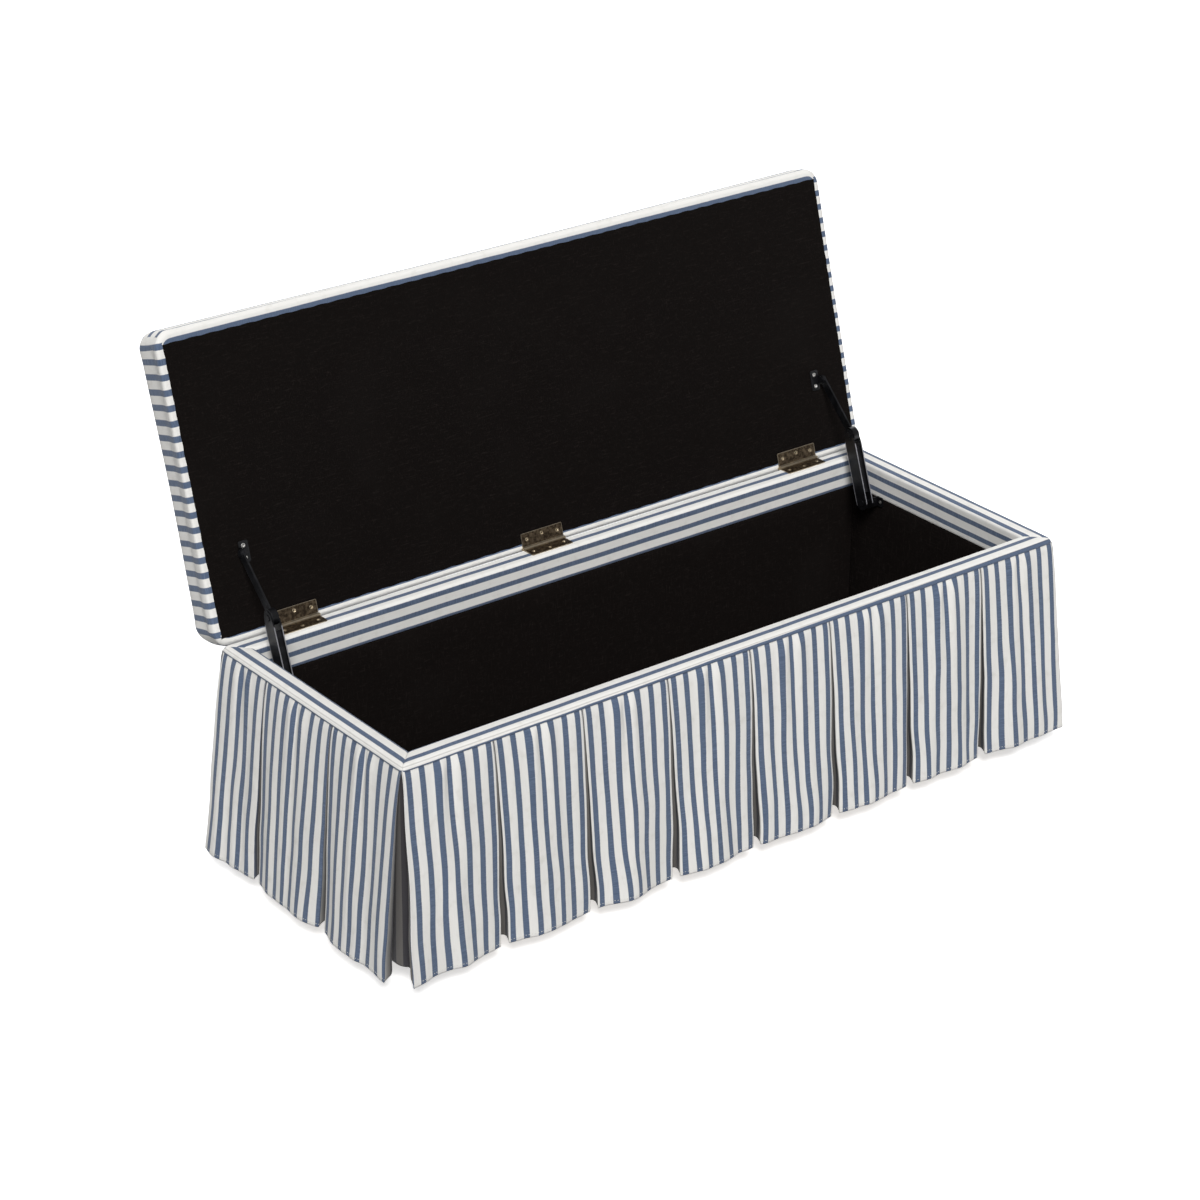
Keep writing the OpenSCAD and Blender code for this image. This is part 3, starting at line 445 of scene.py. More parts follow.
# %% Grid helper
def mesh_piece(name, points, faces, places, material):
    """A smooth mesh; each corner's place is across and along the cloth, and its painted shade."""
    mesh = new_mesh(name, points, faces=faces)
    layers = {"cloth": [place[:2] for place in places]}
    # A third value in the places is painted shade, kept in a UV map called "depth".
    if len(places[0]) > 2:
        layers["depth"] = [(place[2], 0) for place in places]
    for label, spots in layers.items():
        for loop, spot in zip(mesh.uv_layers.new(name=label).data, spots):
            loop.uv = spot
    mesh.materials.append(material)
    mesh.shade_smooth()
    return new_object(name, mesh)


def soften(piece):
    smooth = piece.modifiers.new("smooth", "SUBSURF")
    smooth.levels = smooth.render_levels = 1


def grid_faces(rows, columns, first=0):
    """Quads that face outwards where columns run to the right and rows run down."""
    at = lambda r, c: first + r * columns + c
    return [(at(r, c), at(r + 1, c), at(r + 1, c + 1), at(r, c + 1))
            for r in range(rows - 1) for c in range(columns - 1)]


def cloth_piece(name, sheets, material, thickness, smooth=True):
    """Sheets of (rows of points, rows of places) in one piece, thickened inwards."""
    points, faces, spots = [], [], []
    for rows, places in sheets:
        faces += grid_faces(len(rows), len(rows[0]), len(points))
        points += [p for row in rows for p in row]
        spots += [s for row in places for s in row]
    piece = mesh_piece(name, points, faces, [spots[i] for face in faces for i in face], material)
    solid = piece.modifiers.new("thickness", "SOLIDIFY")
    solid.thickness, solid.offset = thickness, -1
    if smooth:
        soften(piece)
    return piece


def wave(x, y, z=0.0):
    """Smooth noise between about -1 and 1."""
    return noise.noise(Vector((x, y, z)))


def bell(x, width):
    """1 in the middle, about a third at the width, and soon nothing."""
    return math.exp(-(x / width) ** 2)


def clamp(x):
    """Held between 0 and 1."""
    return min(1, max(0, x))


def steps_to_one(count):
    """Even shares from 0 to 1."""
    return [n / count for n in range(count + 1)]


print("helper ready, noise at one place:", round(wave(0.3, 0.7), 3))

# %% [markdown]
# ## Padded rim
# Four mitred runs of cover go over the foam strip like an upside-down U. A swept curve would
# square off the mitre, so each run is a grid: its rows follow the section from the inner foot
# over the top to the outer edge, and its columns end on the mitre line, where the cloth dips
# into the seam. Along the outer edge the cover has a crease, one row sunk a little and darkened
# with painted shade, and the last two rows, where the cover turns under above the skirt, carry a
# painted shadow line.

# %% Section of the rim
rim_wide, rim_inside, rim_outside = 36 * mm, 51 * mm, 8.6 * mm
edge_out, edge_in, plan_r = 8 * mm, 6 * mm, 8 * mm
wall_steps, flat_steps, flat_rise = 8, 6, 0.4 * mm
outer_degrees = (15, 29, 38, 45, 52, 63, 76, 90)
# The crease row is sunk and darkened with painted shade.
crease_degrees, crease_sunk, crease_shade = 45, 0.9 * mm, 0.55
# The last two rows turn under the outer edge; their painted shade draws a shadow line above the skirt.
last_rows = [(0.1 * mm, -rim_outside, 0.2), (1.1 * mm, -rim_outside - 0.3 * mm, 0.9)]


def rim_section():
    """(depth from the outer face, height from the top, painted shade) from the inner foot outwards."""
    rows = [(rim_wide, -rim_inside + t * (rim_inside - edge_in) / wall_steps, 0)
            for t in range(wall_steps)]
    for angle in (math.radians(18 * i) for i in range(5)):
        rows.append((rim_wide - edge_in * (1 - math.cos(angle)), -edge_in * (1 - math.sin(angle)), 0))
    flat = rim_wide - edge_in - edge_out
    for t in range(flat_steps + 1):
        rise = flat_rise * math.sin(math.pi * t / flat_steps)
        rows.append((rim_wide - edge_in - flat * t / flat_steps, rise, 0))
    for degrees in outer_degrees:
        creased = degrees == crease_degrees
        radius, angle = edge_out - crease_sunk * creased, math.radians(degrees)
        rows.append((edge_out - radius * math.sin(angle), radius * math.cos(angle) - edge_out,
                     crease_shade * creased))
    return rows + last_rows


section = rim_section()
run_of_cloth = [0.0]
for one, other in zip(section, section[1:]):
    run_of_cloth.append(run_of_cloth[-1] + math.hypot(other[0] - one[0], other[1] - one[1]))
print("points:", len(section), "cloth across the rim, mm:", round(run_of_cloth[-1] / mm, 1))

# %% Four mitred runs
end_zone, end_steps, end_grading, middle_step = 50 * mm, 9, 1.6, 13 * mm
seam_dip, seam_wide, rim_cloth_thick = 0.9 * mm, 2.6 * mm, 1.4 * mm
# Where the stripes of each run start, and how far they drift along it.
rim_stripes = [(-8 * mm, 6 * mm), (8 * mm, 0), (-1 * mm, 0), (-8 * mm, 0)]


def station(half, depth, share):
    """Along and depth at a share of the way from the end zone to the mitre, at one end."""
    if depth >= plan_r:
        return half - end_zone + share * (end_zone - depth), depth
    straight, bend = end_zone - plan_r, (plan_r - depth) * math.pi / 4
    went = share * (straight + bend)
    if went <= straight:
        return half - end_zone + went, depth
    angle = (went - straight) / (plan_r - depth)
    return half - plan_r + (plan_r - depth) * math.sin(angle), plan_r - (plan_r - depth) * math.cos(angle)


def rim_line(half, depth):
    """(along, depth, share of the way to the mitre) for one row, from end to end."""
    shares = [1 - (1 - i / end_steps) ** end_grading for i in range(end_steps + 1)]
    ends = [(*station(half, depth, share), share) for share in shares]
    steps = round(2 * (half - end_zone) / middle_step)
    middle = [(-half + end_zone + (2 * half - 2 * end_zone) * i / steps, depth, 0)
              for i in range(1, steps)]
    return [(-along, deep, share) for along, deep, share in ends[::-1]] + middle + ends


def rim_point(side, depth, height, along, deep, share):
    """A point of the cover: soft on its faces, and sunk where it nears the seam of a mitre."""
    dip = seam_dip * bell((1 - share) * (end_zone - depth), seam_wide)
    soft = 0.35 * mm * wave(along * 22, depth * 60, side * 5.0)
    soft += 0.2 * mm * wave(along * 70, depth * 90, side)
    top = clamp(1 + height / edge_in)
    return side_point(side, along, reach[side % 2] - deep - (1 - top) * soft,
                      rim_top + height + top * soft - dip * top)


def rim_run(side, name):
    half = reach[1 - side % 2]
    first, drift = rim_stripes[side]
    rows, places = [], []
    for (depth, height, shade), across in zip(section, run_of_cloth):
        line = rim_line(half, depth)
        rows.append([rim_point(side, depth, height, *spot) for spot in line])
        places.append([(across + first + drift * (0.5 + 0.5 * along / half), along, shade)
                       for along, deep, share in line])
    piece = cloth_piece(name + "_cover", [(rows, places)], rim_cloth, rim_cloth_thick)
    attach(piece, "box")
    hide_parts(name)
    return piece


rim_pieces = [rim_run(side, "rim_band_" + name) for side, name in enumerate(side_names)]
print("rim runs:", [len(p.data.vertices) for p in rim_pieces])

# %% [markdown]
# ## Pleated skirt
# The skirt is one strip of ticking for each side, folded into panels. Between two panels the
# cloth turns in, runs across the back of the slit and comes out again, and at the corners a
# separate strip shows through the open fold. Cloth simulation would pull out these sharp folds,
# so the shape is written down. A panel flares and bows towards its hem, and a pinch under the
# rim gathers it in the middle. Noise adds soft upright folds and a little sway to every stripe.

# %% Where the folds are
drop = skirt_top - skirt_hem
base_out = 2.3 * mm
nearest_out = base_out - 0.5 * mm
flare, splay, lean = (28 * mm, 34 * mm), (18 * mm, 8 * mm), (0, -7 * mm, 0, 7 * mm)
bow, slit_half, slit_deep = 8 * mm, 6.0 * mm, 25 * mm
hem_rows, face_columns, tuck_up = 32, 36, 2.5 * mm
even_panels, narrow_panel = [1] * 8, 0.69


def fold_places(side):
    """Folds along a run, from -1 to 1; the rearmost panel of an end is the narrow one."""
    sizes = [even_panels, [1, 1, narrow_panel], even_panels, [narrow_panel, 1, 1]][side]
    return [2 * sum(sizes[:n]) / sum(sizes) - 1 for n in range(len(sizes) + 1)]


def skirt_half(side):
    return reach[1] - 0.5 * mm if side % 2 == 0 else reach[0] - cover_t


def spread(side, place, down):
    """Along for a place on the run: upright slits, with the ends of the run spread at the hem."""
    return (place * (skirt_half(side) + down * splay[side % 2] * abs(place) ** 7)
            + lean[side] * down * (1 - place * place))


folds = [fold_places(side) for side in range(4)]
print("folds on the right end, mm:", [round(spread(1, place, 0) / mm) for place in folds[1]])

# %% Shape of one panel
broad_fold, fine_fold, pucker, billow = 8.5 * mm, 5.5 * mm, 1.6 * mm, 3.0 * mm
pinch_ridge, pinch_valley, corner_flick = 6.5 * mm, 6 * mm, 8 * mm


def pinch(side, panel, away, down):
    """The gather in the middle of a panel: a valley between two soft ridges, gone by mid height."""
    deep = (0.8 + 0.35 * wave(panel * 3.1, side * 2.7, 5)) * math.exp(-4.2 * down) * min(1, 16 * down)
    valley = bell(away, 4 * mm + 15 * mm * down)
    ridges = bell(abs(away) - 13 * mm - 8 * mm * down, 9 * mm)
    return deep * (pinch_ridge * ridges - pinch_valley * valley)


def skirt_out(side, panel, across, along, down):
    """How far the outside of a panel stands off the wood at a share of the way down."""
    last = len(folds[side]) - 2
    at_corner = panel == 0 and across < 0.5 or panel == last and across > 0.5
    swell = 0.14 * (1 - math.exp(-9 * down)) + 0.86 * down
    body = flare[side % 2] * swell + bow * down * (1 if at_corner else math.sin(math.pi * across))
    body += billow * down * wave(along * 4.5, side * 7.7, 1.3)
    if side == 0 and panel == 0:
        body += corner_flick * down ** 1.5 * max(0, 1 - 3 * across) ** 2
    broad = broad_fold * wave(along * 14, down * 0.8, 3 + side * 9.1) * down ** 0.5
    fine = fine_fold * wave(along * 36, down * 1.3, side * 4.3) * down ** 0.5
    puckers = pucker * wave(along * 62, 0.3, side * 2.2) * math.exp(-9 * down) * min(1, 30 * down)
    edge = math.sin(math.pi * clamp(across)) ** 0.5
    wide = skirt_half(side) * (folds[side][panel + 1] - folds[side][panel])
    away = (across - 0.5 - 0.09 * wave(panel * 2.3, side * 3.9)) * wide
    return base_out + max(0, body + (broad + fine + puckers + pinch(side, panel, away, down)) * edge)


def sway(side, along, down):
    """How far a stripe has drifted sideways on its way down."""
    slow = 5 * mm * down * wave(along * 10, down * 2.8, 7 + side * 3.3)
    return slow + 2.2 * mm * down * wave(along * 30, down * 6, side)


def gathered(share, wide, down):
    """Cloth taken up between the fold and a share of the panel: more of it at the pinch."""
    away = (share - 0.5) * wide / (17 * mm)
    return share * wide + 8 * mm * away * math.exp(-away * away) * math.exp(-3.5 * down)


print("a pinch is", round(-pinch(0, 0, 0, 0.1) / mm, 1), "mm deep near the top")

# %% Folds between the panels
# Each step in mm: sideways and how much more at the hem, inwards and how much more, cloth used.
tuck_steps = [(0.3, 1.6, 0.2, 2.6, 3.2), (0.7, 5.0, 0.4, 11, 12.5), (0.9, 8.0, 0.5, 20, 21)]
slit_top, slit_back, first_stripe, fold_cloth = 0.4 * mm, 35 * mm, 12.5 * mm, 72 * mm


def turned_in(down):
    """Three steps into a fold: (number, sideways, inwards, across the cloth), deeper at the hem."""
    return [(n + 1, (narrow + wider * down) * mm, (near + further * down) * mm, -cloth * mm)
            for n, (narrow, wider, near, further, cloth) in enumerate(tuck_steps)]


def behind(face_out, inwards):
    """How far out folded cloth stands behind a face, kept off the wood."""
    return max(nearest_out, face_out - inwards)


def skirt_row(side, down):
    """Points across a run at one height: (along, out, across the cloth, 0 on a face to 4 in a fold)."""
    slit, tuck, shares = slit_top + slit_half * down ** 1.2, turned_in(down), steps_to_one(face_columns)
    line, start = [], first_stripe
    for panel, (low, high) in enumerate(zip(folds[side], folds[side][1:])):
        wide = skirt_half(side) * (high - low)
        left = spread(side, low, down) + (slit if panel else 0)
        right = spread(side, high, down) - (slit if high < 1 else 0)
        spare = max(0, right - left - wide)
        more_left, more_right = spare * (low == -1), spare * (high == 1)
        begin = start + 2.5 * mm * wave(panel * 3.7, side * 1.9)
        out = [skirt_out(side, panel, s, left + (right - left) * s, down) for s in shares]
        if panel:
            line.append((spread(side, low, down), behind(out[0], slit_deep * down), begin - slit_back, 4))
        line += [(left + a, behind(out[0], o), begin - more_left + c, n) for n, a, o, c in tuck[::-1]]
        full = wide + (more_left + more_right)
        line += [(left + (right - left) * s, o, begin - more_left + gathered(s, full, down), 0)
                 for s, o in zip(shares, out)]
        line += [(right - a, behind(out[-1], o), begin + wide + more_right - c, n) for n, a, o, c in tuck]
        start += stripe_pitch * round((wide + fold_cloth) / stripe_pitch)
    return line


hem_line = skirt_row(0, 1.0)
print("columns in front:", len(hem_line), "hem out", round(max(p[1] for p in hem_line) / mm, 1), "mm")

# %% Four runs and their corner strips
# Painted shade: how much the cloth is darkened on a face, at the three steps into a fold and at its back.
fold_shade = [0.0, 0.6, 0.95, 1.0, 1.0]
skirt_cloth_thick, strip_short, corner_cloth = 1.3 * mm, 7 * mm, 0.15
strip_side, strip_bend = (30, 20, 10, 3), (9, 27, 45, 63, 81)


def on_run(side, along, out, down, deep=0):
    """A point of a run in the room; the hem of a fold hangs a little higher than that of a face."""
    z = skirt_top - down * drop + deep * 1.1 * mm * max(0, down) ** 6
    return side_point(side, along + sway(side, along, down), reach[side % 2] - cover_t + out, z)


def run_sheet(side):
    """A whole run; its first row is tucked up behind the rim."""
    rows, places = [], []
    for r in range(hem_rows + 1):
        down = -tuck_up / drop if r == 0 else (r / hem_rows) ** 1.15
        back = 1.6 * mm if r == 0 else 0
        line = skirt_row(side, max(0, down))
        rows.append([on_run(side, along, out - back, down, deep) for along, out, cloth, deep in line])
        # Painted shade in the folds, a little stronger towards the hem.
        places.append([(cloth, (1 - down) * drop, fold_shade[deep] * (0.8 + 0.2 * down))
                       for along, out, cloth, deep in line])
    return rows, places


def strip_plan(back, off):
    """(x, y, mm across the cloth) of the strip round one corner of the wood, seen from above."""
    wood_x, wood_y = reach[1] - cover_t, reach[0] - cover_t
    bend = off + back
    cloth = 0.8 * bend / mm
    plan = [(wood_x - back - a * mm, wood_y + off, -a - cloth) for a in strip_side]
    for degrees in strip_bend:
        angle = math.radians(degrees)
        plan.append((wood_x - back + bend * math.sin(angle), wood_y - back + bend * math.cos(angle),
                     cloth * (degrees - 45) / 45))
    return plan + [(wood_x + off, wood_y - back - a * mm, a + cloth) for a in strip_side[::-1]]


def corner_sheet(x_way, y_way):
    """The strip behind the open fold at a corner of the box, with a stripe down its middle."""
    rows, places = [], []
    for down in steps_to_one(16):
        off = (2.0 + 7.0 * down + 0.8 * wave(x_way * 2.0 + y_way, down * 2.5)) * mm
        plan = strip_plan((1 + 11 * down) * mm, off)
        plan = plan[::-1] if x_way * y_way > 0 else plan
        z = skirt_top - down * (drop - strip_short)
        rows.append([Vector((x_way * x, middle_y + y_way * y, z)) for x, y, cloth in plan])
        # Painted shade darkens the whole strip almost to black, a little less towards the hem.
        places.append([(cloth * mm, (1 - down) * drop, 1 - 0.06 * down) for x, y, cloth in plan])
    return rows, places


skirt_pieces = []
for side, name in enumerate(side_names):
    sheets = [run_sheet(side)]
    if side % 2:
        sheets += [corner_sheet(1 if side == 1 else -1, y_way) for y_way in (-1, 1)]
    piece = cloth_piece("skirt_" + name + "_pleats", sheets, skirt_cloth, skirt_cloth_thick)
    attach(piece, "box")
    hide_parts("skirt_" + name)
    cloth_row = sheets[0][1][0]
    wide = cloth_row[-1][0] - cloth_row[0][0] + corner_cloth * (len(sheets) - 1) / 2
    "rim_band_" + name
    skirt_pieces.append(piece)
print("points in each run:", [len(p.data.vertices) for p in skirt_pieces])

# %% [markdown]
# ## Lid cushion
# The cushion is a slab of foam under a tight cover, with rounded upper edges, a low crown and
# ends that draw in a little, while its long walls bulge. A cube with bevels has no cloth to
# print stripes on, so the surface is a fine grid on top, rings down the walls and a grid below.
# Stripes run along the bench, turn down over the front and back, and end in short bars on the
# two ends.

# %% Cushion outline
half_x, front_y, back_y = 617.5 * mm, -456.5 * mm, 3 * mm
half_y, mid_y = (back_y - front_y) / 2, (back_y + front_y) / 2
under, thick, crown, crown_fade = 1.7 * mm, 75 * mm, 8 * mm, 229 * mm
round_top, round_low, draw_in = 20 * mm, 5.5 * mm, 2.5 * mm
back_bulge, front_bulge, bulge_from, bulge_over = 9 * mm, 6 * mm, 2, 66
cells_x, cells_y, corner_cells = 116, 44, 3


def even_places(k, cells, half, r):
    """Place k of a row of cells from -half to half, with closer ones over the radius at each end."""
    if k <= corner_cells:
        return -half + r * k / corner_cells
    if k >= cells - corner_cells:
        return half - r * (cells - k) / corner_cells
    return (half - r) * (2 * (k - corner_cells) / (cells - 2 * corner_cells) - 1)


def rounded_corner(a, b):
    """From a square corner, with a and b from 0 to 1, to a round one."""
    far, turn = max(a, b), math.pi / 4 * min(a, b) / max(a, b)
    long, short = far * math.cos(turn), far * math.sin(turn)
    return (long, short) if a >= b else (short, long)


def cushion_point(i, j, inset, height, drawn):
    """Grid place (i, j) on the outline or inside it, at an inset and a height above the underside."""
    hx, hy, r = half_x - inset, half_y - inset, (24 - 0.35 * inset / mm) * mm
    x, y = even_places(i, cells_x, hx, r), even_places(j, cells_y, hy, r)
    a, b = (abs(x) - (hx - r)) / r, (abs(y) - (hy - r)) / r
    if a > 0 and b > 0:
        a, b = rounded_corner(a, b)
        x, y = math.copysign(hx - r + a * r, x), math.copysign(hy - r + b * r, y)
    pull = drawn * draw_in
    x *= 1 - pull / hx * math.cos(math.pi / 2 * min(1, abs(y) / hy)) ** 2 * (abs(x) / hx) ** 4
    y *= 1 - pull / hy * math.cos(math.pi / 2 * min(1, abs(x) / hx)) ** 2 * (abs(y) / hy) ** 4
    up_the_wall = min(1, max(0, height / mm - bulge_from) / bulge_over)
    full = (y / hy) ** 4 * math.sin(math.pi * up_the_wall ** 0.75)
    y += full * (back_bulge if y > 0 else -front_bulge)
    return Vector((x, y + mid_y, under + height))


def boundary():
    """Grid places round the edge, anticlockwise seen from above."""
    return ([(i, 0) for i in range(cells_x)] + [(cells_x, j) for j in range(cells_y)]
            + [(i, cells_y) for i in range(cells_x, 0, -1)] + [(0, j) for j in range(cells_y, 0, -1)])


edge_places = boundary()
# Each ring of the wall: inset, height, and how much of the draw-in it takes.
wall = [(round_top * (1 - math.sin(a)), thick - round_top * (1 - math.cos(a)), 1.0)
        for a in (math.radians(15 * n) for n in range(7))]
wall += [(0.0, z * mm, 1.0) for z in (47, 38, 29, 20, 12)]
wall += [(round_low * (1 - math.cos(b)), round_low * (1 - math.sin(b)), 0.5 * (1 - b / 1.6))
         for b in (math.radians(22.5 * n) for n in range(5))]
print("cushion columns round the edge:", len(edge_places), "rings:", len(wall))

# %% Cushion mesh with its stripes
stripe_shift, front_shift, wall_cloth = -7.7 * mm, 1.5 * mm, 0.94
wrinkle = 0.9 * mm


def crowned(p):
    """Raises a point of the top towards the middle, with a few soft wrinkles."""
    rise = 1
    for half, v in ((half_x - round_top, p.x), (half_y - round_top, p.y - mid_y)):
        rise *= 1 - (1 - clamp((half - abs(v)) / crown_fade)) ** 3
    p.z += crown * rise + wrinkle * wave(p.x * 7, p.y * 7, 2) * min(1, 8 * rise)
    return p


def cushion_points_by_key():
    """Every point once: its key, where it is, and how far the cloth has gone down to it."""
    found = {("top", i, j): (crowned(cushion_point(i, j, round_top, thick, 1.0)), 0.0)
             for i in range(cells_x + 1) for j in range(cells_y + 1)}
    went = 0.0
    for ring, (one, other) in enumerate(zip(wall, wall[1:]), 1):
        went += math.hypot(other[0] - one[0], other[1] - one[1])
        for i, j in edge_places:
            found[ring, i, j] = (cushion_point(i, j, *other), went)
    for i in range(1, cells_x):
        for j in range(1, cells_y):
            p = cushion_point(i, j, round_low, 0.0, 0.0)
            inward = min(half_x - round_low - abs(p.x), half_y - round_low - abs(p.y - mid_y))
            found["low", i, j] = (p, went + inward)
    return found


def cushion_faces_and_kinds(index, points):
    """Faces of the top, the underside and the walls, and which way the stripes of each run."""
    faces, kinds = [], []
    for i in range(cells_x):
        for j in range(cells_y):
            around = [(i, j), (i + 1, j), (i + 1, j + 1), (i, j + 1)]
            faces.append([index["top", k, l] for k, l in around])
            faces.append([index["low", k, l] for k, l in (around[0], *around[:0:-1])])
            c = sum((points[k] for k in faces[-1]), Vector()) / 4
            end = half_x - abs(c.x) < half_y - abs(c.y - mid_y)
            kinds += ["top", "end" if end else "front" if c.y < mid_y else "back"]
    for ring in range(len(wall) - 1):
        for (i, j), (k, l) in zip(edge_places, edge_places[1:] + edge_places[:1]):
            faces.append([index[ring, i, j], index[ring + 1, i, j],
                          index[ring + 1, k, l], index[ring, k, l]])
            kinds.append("front" if j == l == 0 else "back" if j == l == cells_y else "end")
    return faces, kinds


def cushion_place(p, down, kind):
    """Across and along the cloth, which turns down over the walls."""
    across = {"top": p.y, "end": p.y, "front": front_y + round_top + front_shift - wall_cloth * down,
              "back": back_y - round_top + wall_cloth * down}[kind]
    return across + stripe_shift, down if kind == "end" else p.x


def cushion_mesh():
    found = cushion_points_by_key()
    points, down = [p for p, went in found.values()], [went for p, went in found.values()]
    index = {key: n for n, key in enumerate(found)}
    for i, j in edge_places:
        index[0, i, j] = index["top", i, j]
        index["low", i, j] = index[len(wall) - 1, i, j]
    faces, kinds = cushion_faces_and_kinds(index, points)
    places = [cushion_place(points[k], down[k], kind) for face, kind in zip(faces, kinds) for k in face]
    return mesh_piece("lid_cushion", points, faces, places, ticking_cloth)


cushion = cushion_mesh()
print("cushion:", len(cushion.data.vertices), "points", len(cushion.data.polygons), "faces")

# %% [markdown]
# ## Swelling the cushion
# Foam pushes a tight cover out, most in the middle of a face and least along a seam. Cloth
# physics does the same: the cover is pinned where it is stapled to the board, air pressure
# swells it for twenty frames, and a cap keeps any point from moving further than foam would let
# it. The result is written into the mesh, so no physics is left on the piece.

# %% Cloth pressure
swell_cap, swell_pressure, swell_frames, stapled_below = 4.5 * mm, 4.0, 20, 7 * mm


def swell(piece, pinned):
    """Blows a piece up a little and returns how far it would have gone without the cap."""
    group = piece.vertex_groups.new(name="stapled")
    group.add(pinned, 1.0, "REPLACE")
    cloth = piece.modifiers.new("swell", "CLOTH")
    rules = cloth.settings
    rules.vertex_group_mass = "stapled"
    rules.use_pressure, rules.uniform_pressure_force = True, swell_pressure
    rules.effector_weights.gravity, rules.quality = 0, 6
    rules.tension_stiffness = rules.compression_stiffness = 25
    rules.bending_stiffness = 2
    cloth.collision_settings.use_self_collision = False
    cloth.point_cache.frame_end = swell_frames
    scene = bpy.context.scene
    for number in range(1, swell_frames + 1):
        scene.frame_set(number)
    shown = piece.evaluated_get(bpy.context.evaluated_depsgraph_get())
    moved = [v.co.copy() for v in shown.data.vertices]
    most = 0.0
    for vertex, target in zip(piece.data.vertices, moved):
        step = target - vertex.co
        most = max(most, step.length)
        if step.length > swell_cap:
            step *= swell_cap / step.length
        vertex.co += step
    piece.modifiers.remove(cloth)
    piece.vertex_groups.remove(group)
    scene.frame_set(1)
    return most


stapled = [v.index for v in cushion.data.vertices if v.co.z < under + stapled_below]
print("the cover moved up to", round(swell(cushion, stapled) / mm, 1), "mm before the cap")

# %% Cushion on the open lid
for vertex in cushion.data.vertices:
    vertex.co = on_open_lid(vertex.co)
soften(cushion)
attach(cushion, "lid")
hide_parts("lid_cover", "lid_foam")
heights = [v.co.z for v in cushion.data.vertices]
print("cushion stands from", round(min(heights), 3), "to", round(max(heights), 3))

# %% [markdown]
# ## Dust cover
# The underside of the lid is closed with black cloth, turned under along its edge and stapled.
# Each staple holds a small pucker. It is a stretched sheet, so one grid is enough: points near
# the edge curl towards the board and rise between staples, and stay flat under the hinges.

# %% Dust cover
dust_half, dust_front, dust_back = 607 * mm, -440.5 * mm, -7.5 * mm
staple_pitch, below_board, dust_cloth_thick = 31 * mm, 0.05 * mm, 0.5 * mm
near_edge = [d * mm for d in (0, 1, 2.5, 5, 9, 13, 16, 19)]


def graded(low, high, step):
    """Places from low to high, about a step apart, with closer ones at both ends."""
    last = near_edge[-1]
    count = round((high - low - 2 * last) / step)
    inner = [low + last + (high - low - 2 * last) * n / count for n in range(count + 1)]
    return [low + c for c in near_edge[:-1]] + inner + [high - c for c in near_edge[:-1]][::-1]


def clear_of_hinges(x, y):
    """0 under a hinge leaf and 1 well away from it."""
    beyond = max(0, -leaf_reach - y)
    nearest = min(math.hypot(max(0, abs(x - place) - hinge_half), beyond) for place in hinge_places)
    return clamp((nearest - 2 * mm) / (8 * mm))


def dust_point(x, y):
    to_end, to_front, to_back = dust_half - abs(x), y - dust_front, dust_back - y
    inward = min(to_end, to_front, to_back)
    seam = x if min(to_front, to_back) < to_end else y
    curl = 1.0 * mm * math.exp(-inward / (1.2 * mm))
    ridge = 0.35 * mm * bell(inward - 15 * mm, 2 * mm)
    between = 0.5 + 0.5 * math.cos(seam * 2 * math.pi / staple_pitch)
    pucker = 0.6 * mm * between * math.exp(-inward / (7 * mm))
    sag = 0.5 * mm * wave(x * 6, y * 6, 4) * min(1, inward / (50 * mm))
    edge = 0.25 * mm * wave(seam * 40, 2.2) * math.exp(-inward / (3 * mm))
    shift_x = -edge if to_end < min(to_front, to_back) else 0
    shift_y = edge if to_front < min(to_end, to_back) else 0
    sunk = clear_of_hinges(x, y) * (ridge + pucker + max(0, sag))
    return on_open_lid((x + math.copysign(shift_x, x), y + shift_y, under - below_board + curl - sunk))


across_lid, along_lid = graded(dust_front, dust_back, 14 * mm), graded(-dust_half, dust_half, 9 * mm)
rows = [[dust_point(x, y) for x in along_lid] for y in across_lid[::-1]]
places = [[(x, y) for x in along_lid] for y in across_lid[::-1]]
dust_cover = cloth_piece("lid_dust_cover_cloth", [(rows, places)], dust_cloth, dust_cloth_thick, False)
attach(dust_cover, "lid")
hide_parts("lid_dust_cover")
print("dust cover grid:", len(rows), "by", len(rows[0]))

# %% [markdown]
# ## Lining boards
# Thin boards wrapped in black cloth line the box. They are boxes with soft edges, which a Bevel
# modifier could give, but a wrapped board also has slightly uneven faces. So each is a box made
# of grids: every point is pulled back to an inner box and pushed out again by the edge's radius,
# which rounds all edges at once, and noise does the rest.

# %% Wrapped boards
board_edge, board_step, board_uneven = 2.5 * mm, 30 * mm, 0.25 * mm


def ticks(low, high, radius):
    """Places along one edge of a board, with two closer ones over each rounding."""
    room = high - low
    count = max(1, round((room - 2 * radius) / board_step))
    flat = [low + radius + (room - 2 * radius) * n / count for n in range(count + 1)]
    return [low, low + 0.4 * radius] + flat + [high - 0.4 * radius, high]


def rounded_point(p, low, high, radius):
    core = Vector([min(max(p[a], low[a] + radius), high[a] - radius) for a in range(3)])
    away = p - core
    soft = board_uneven * (wave(p.x * 30, p.y * 30, p.z * 30) - 1)
    return core + away.normalized() * (radius + soft) if away.length else p


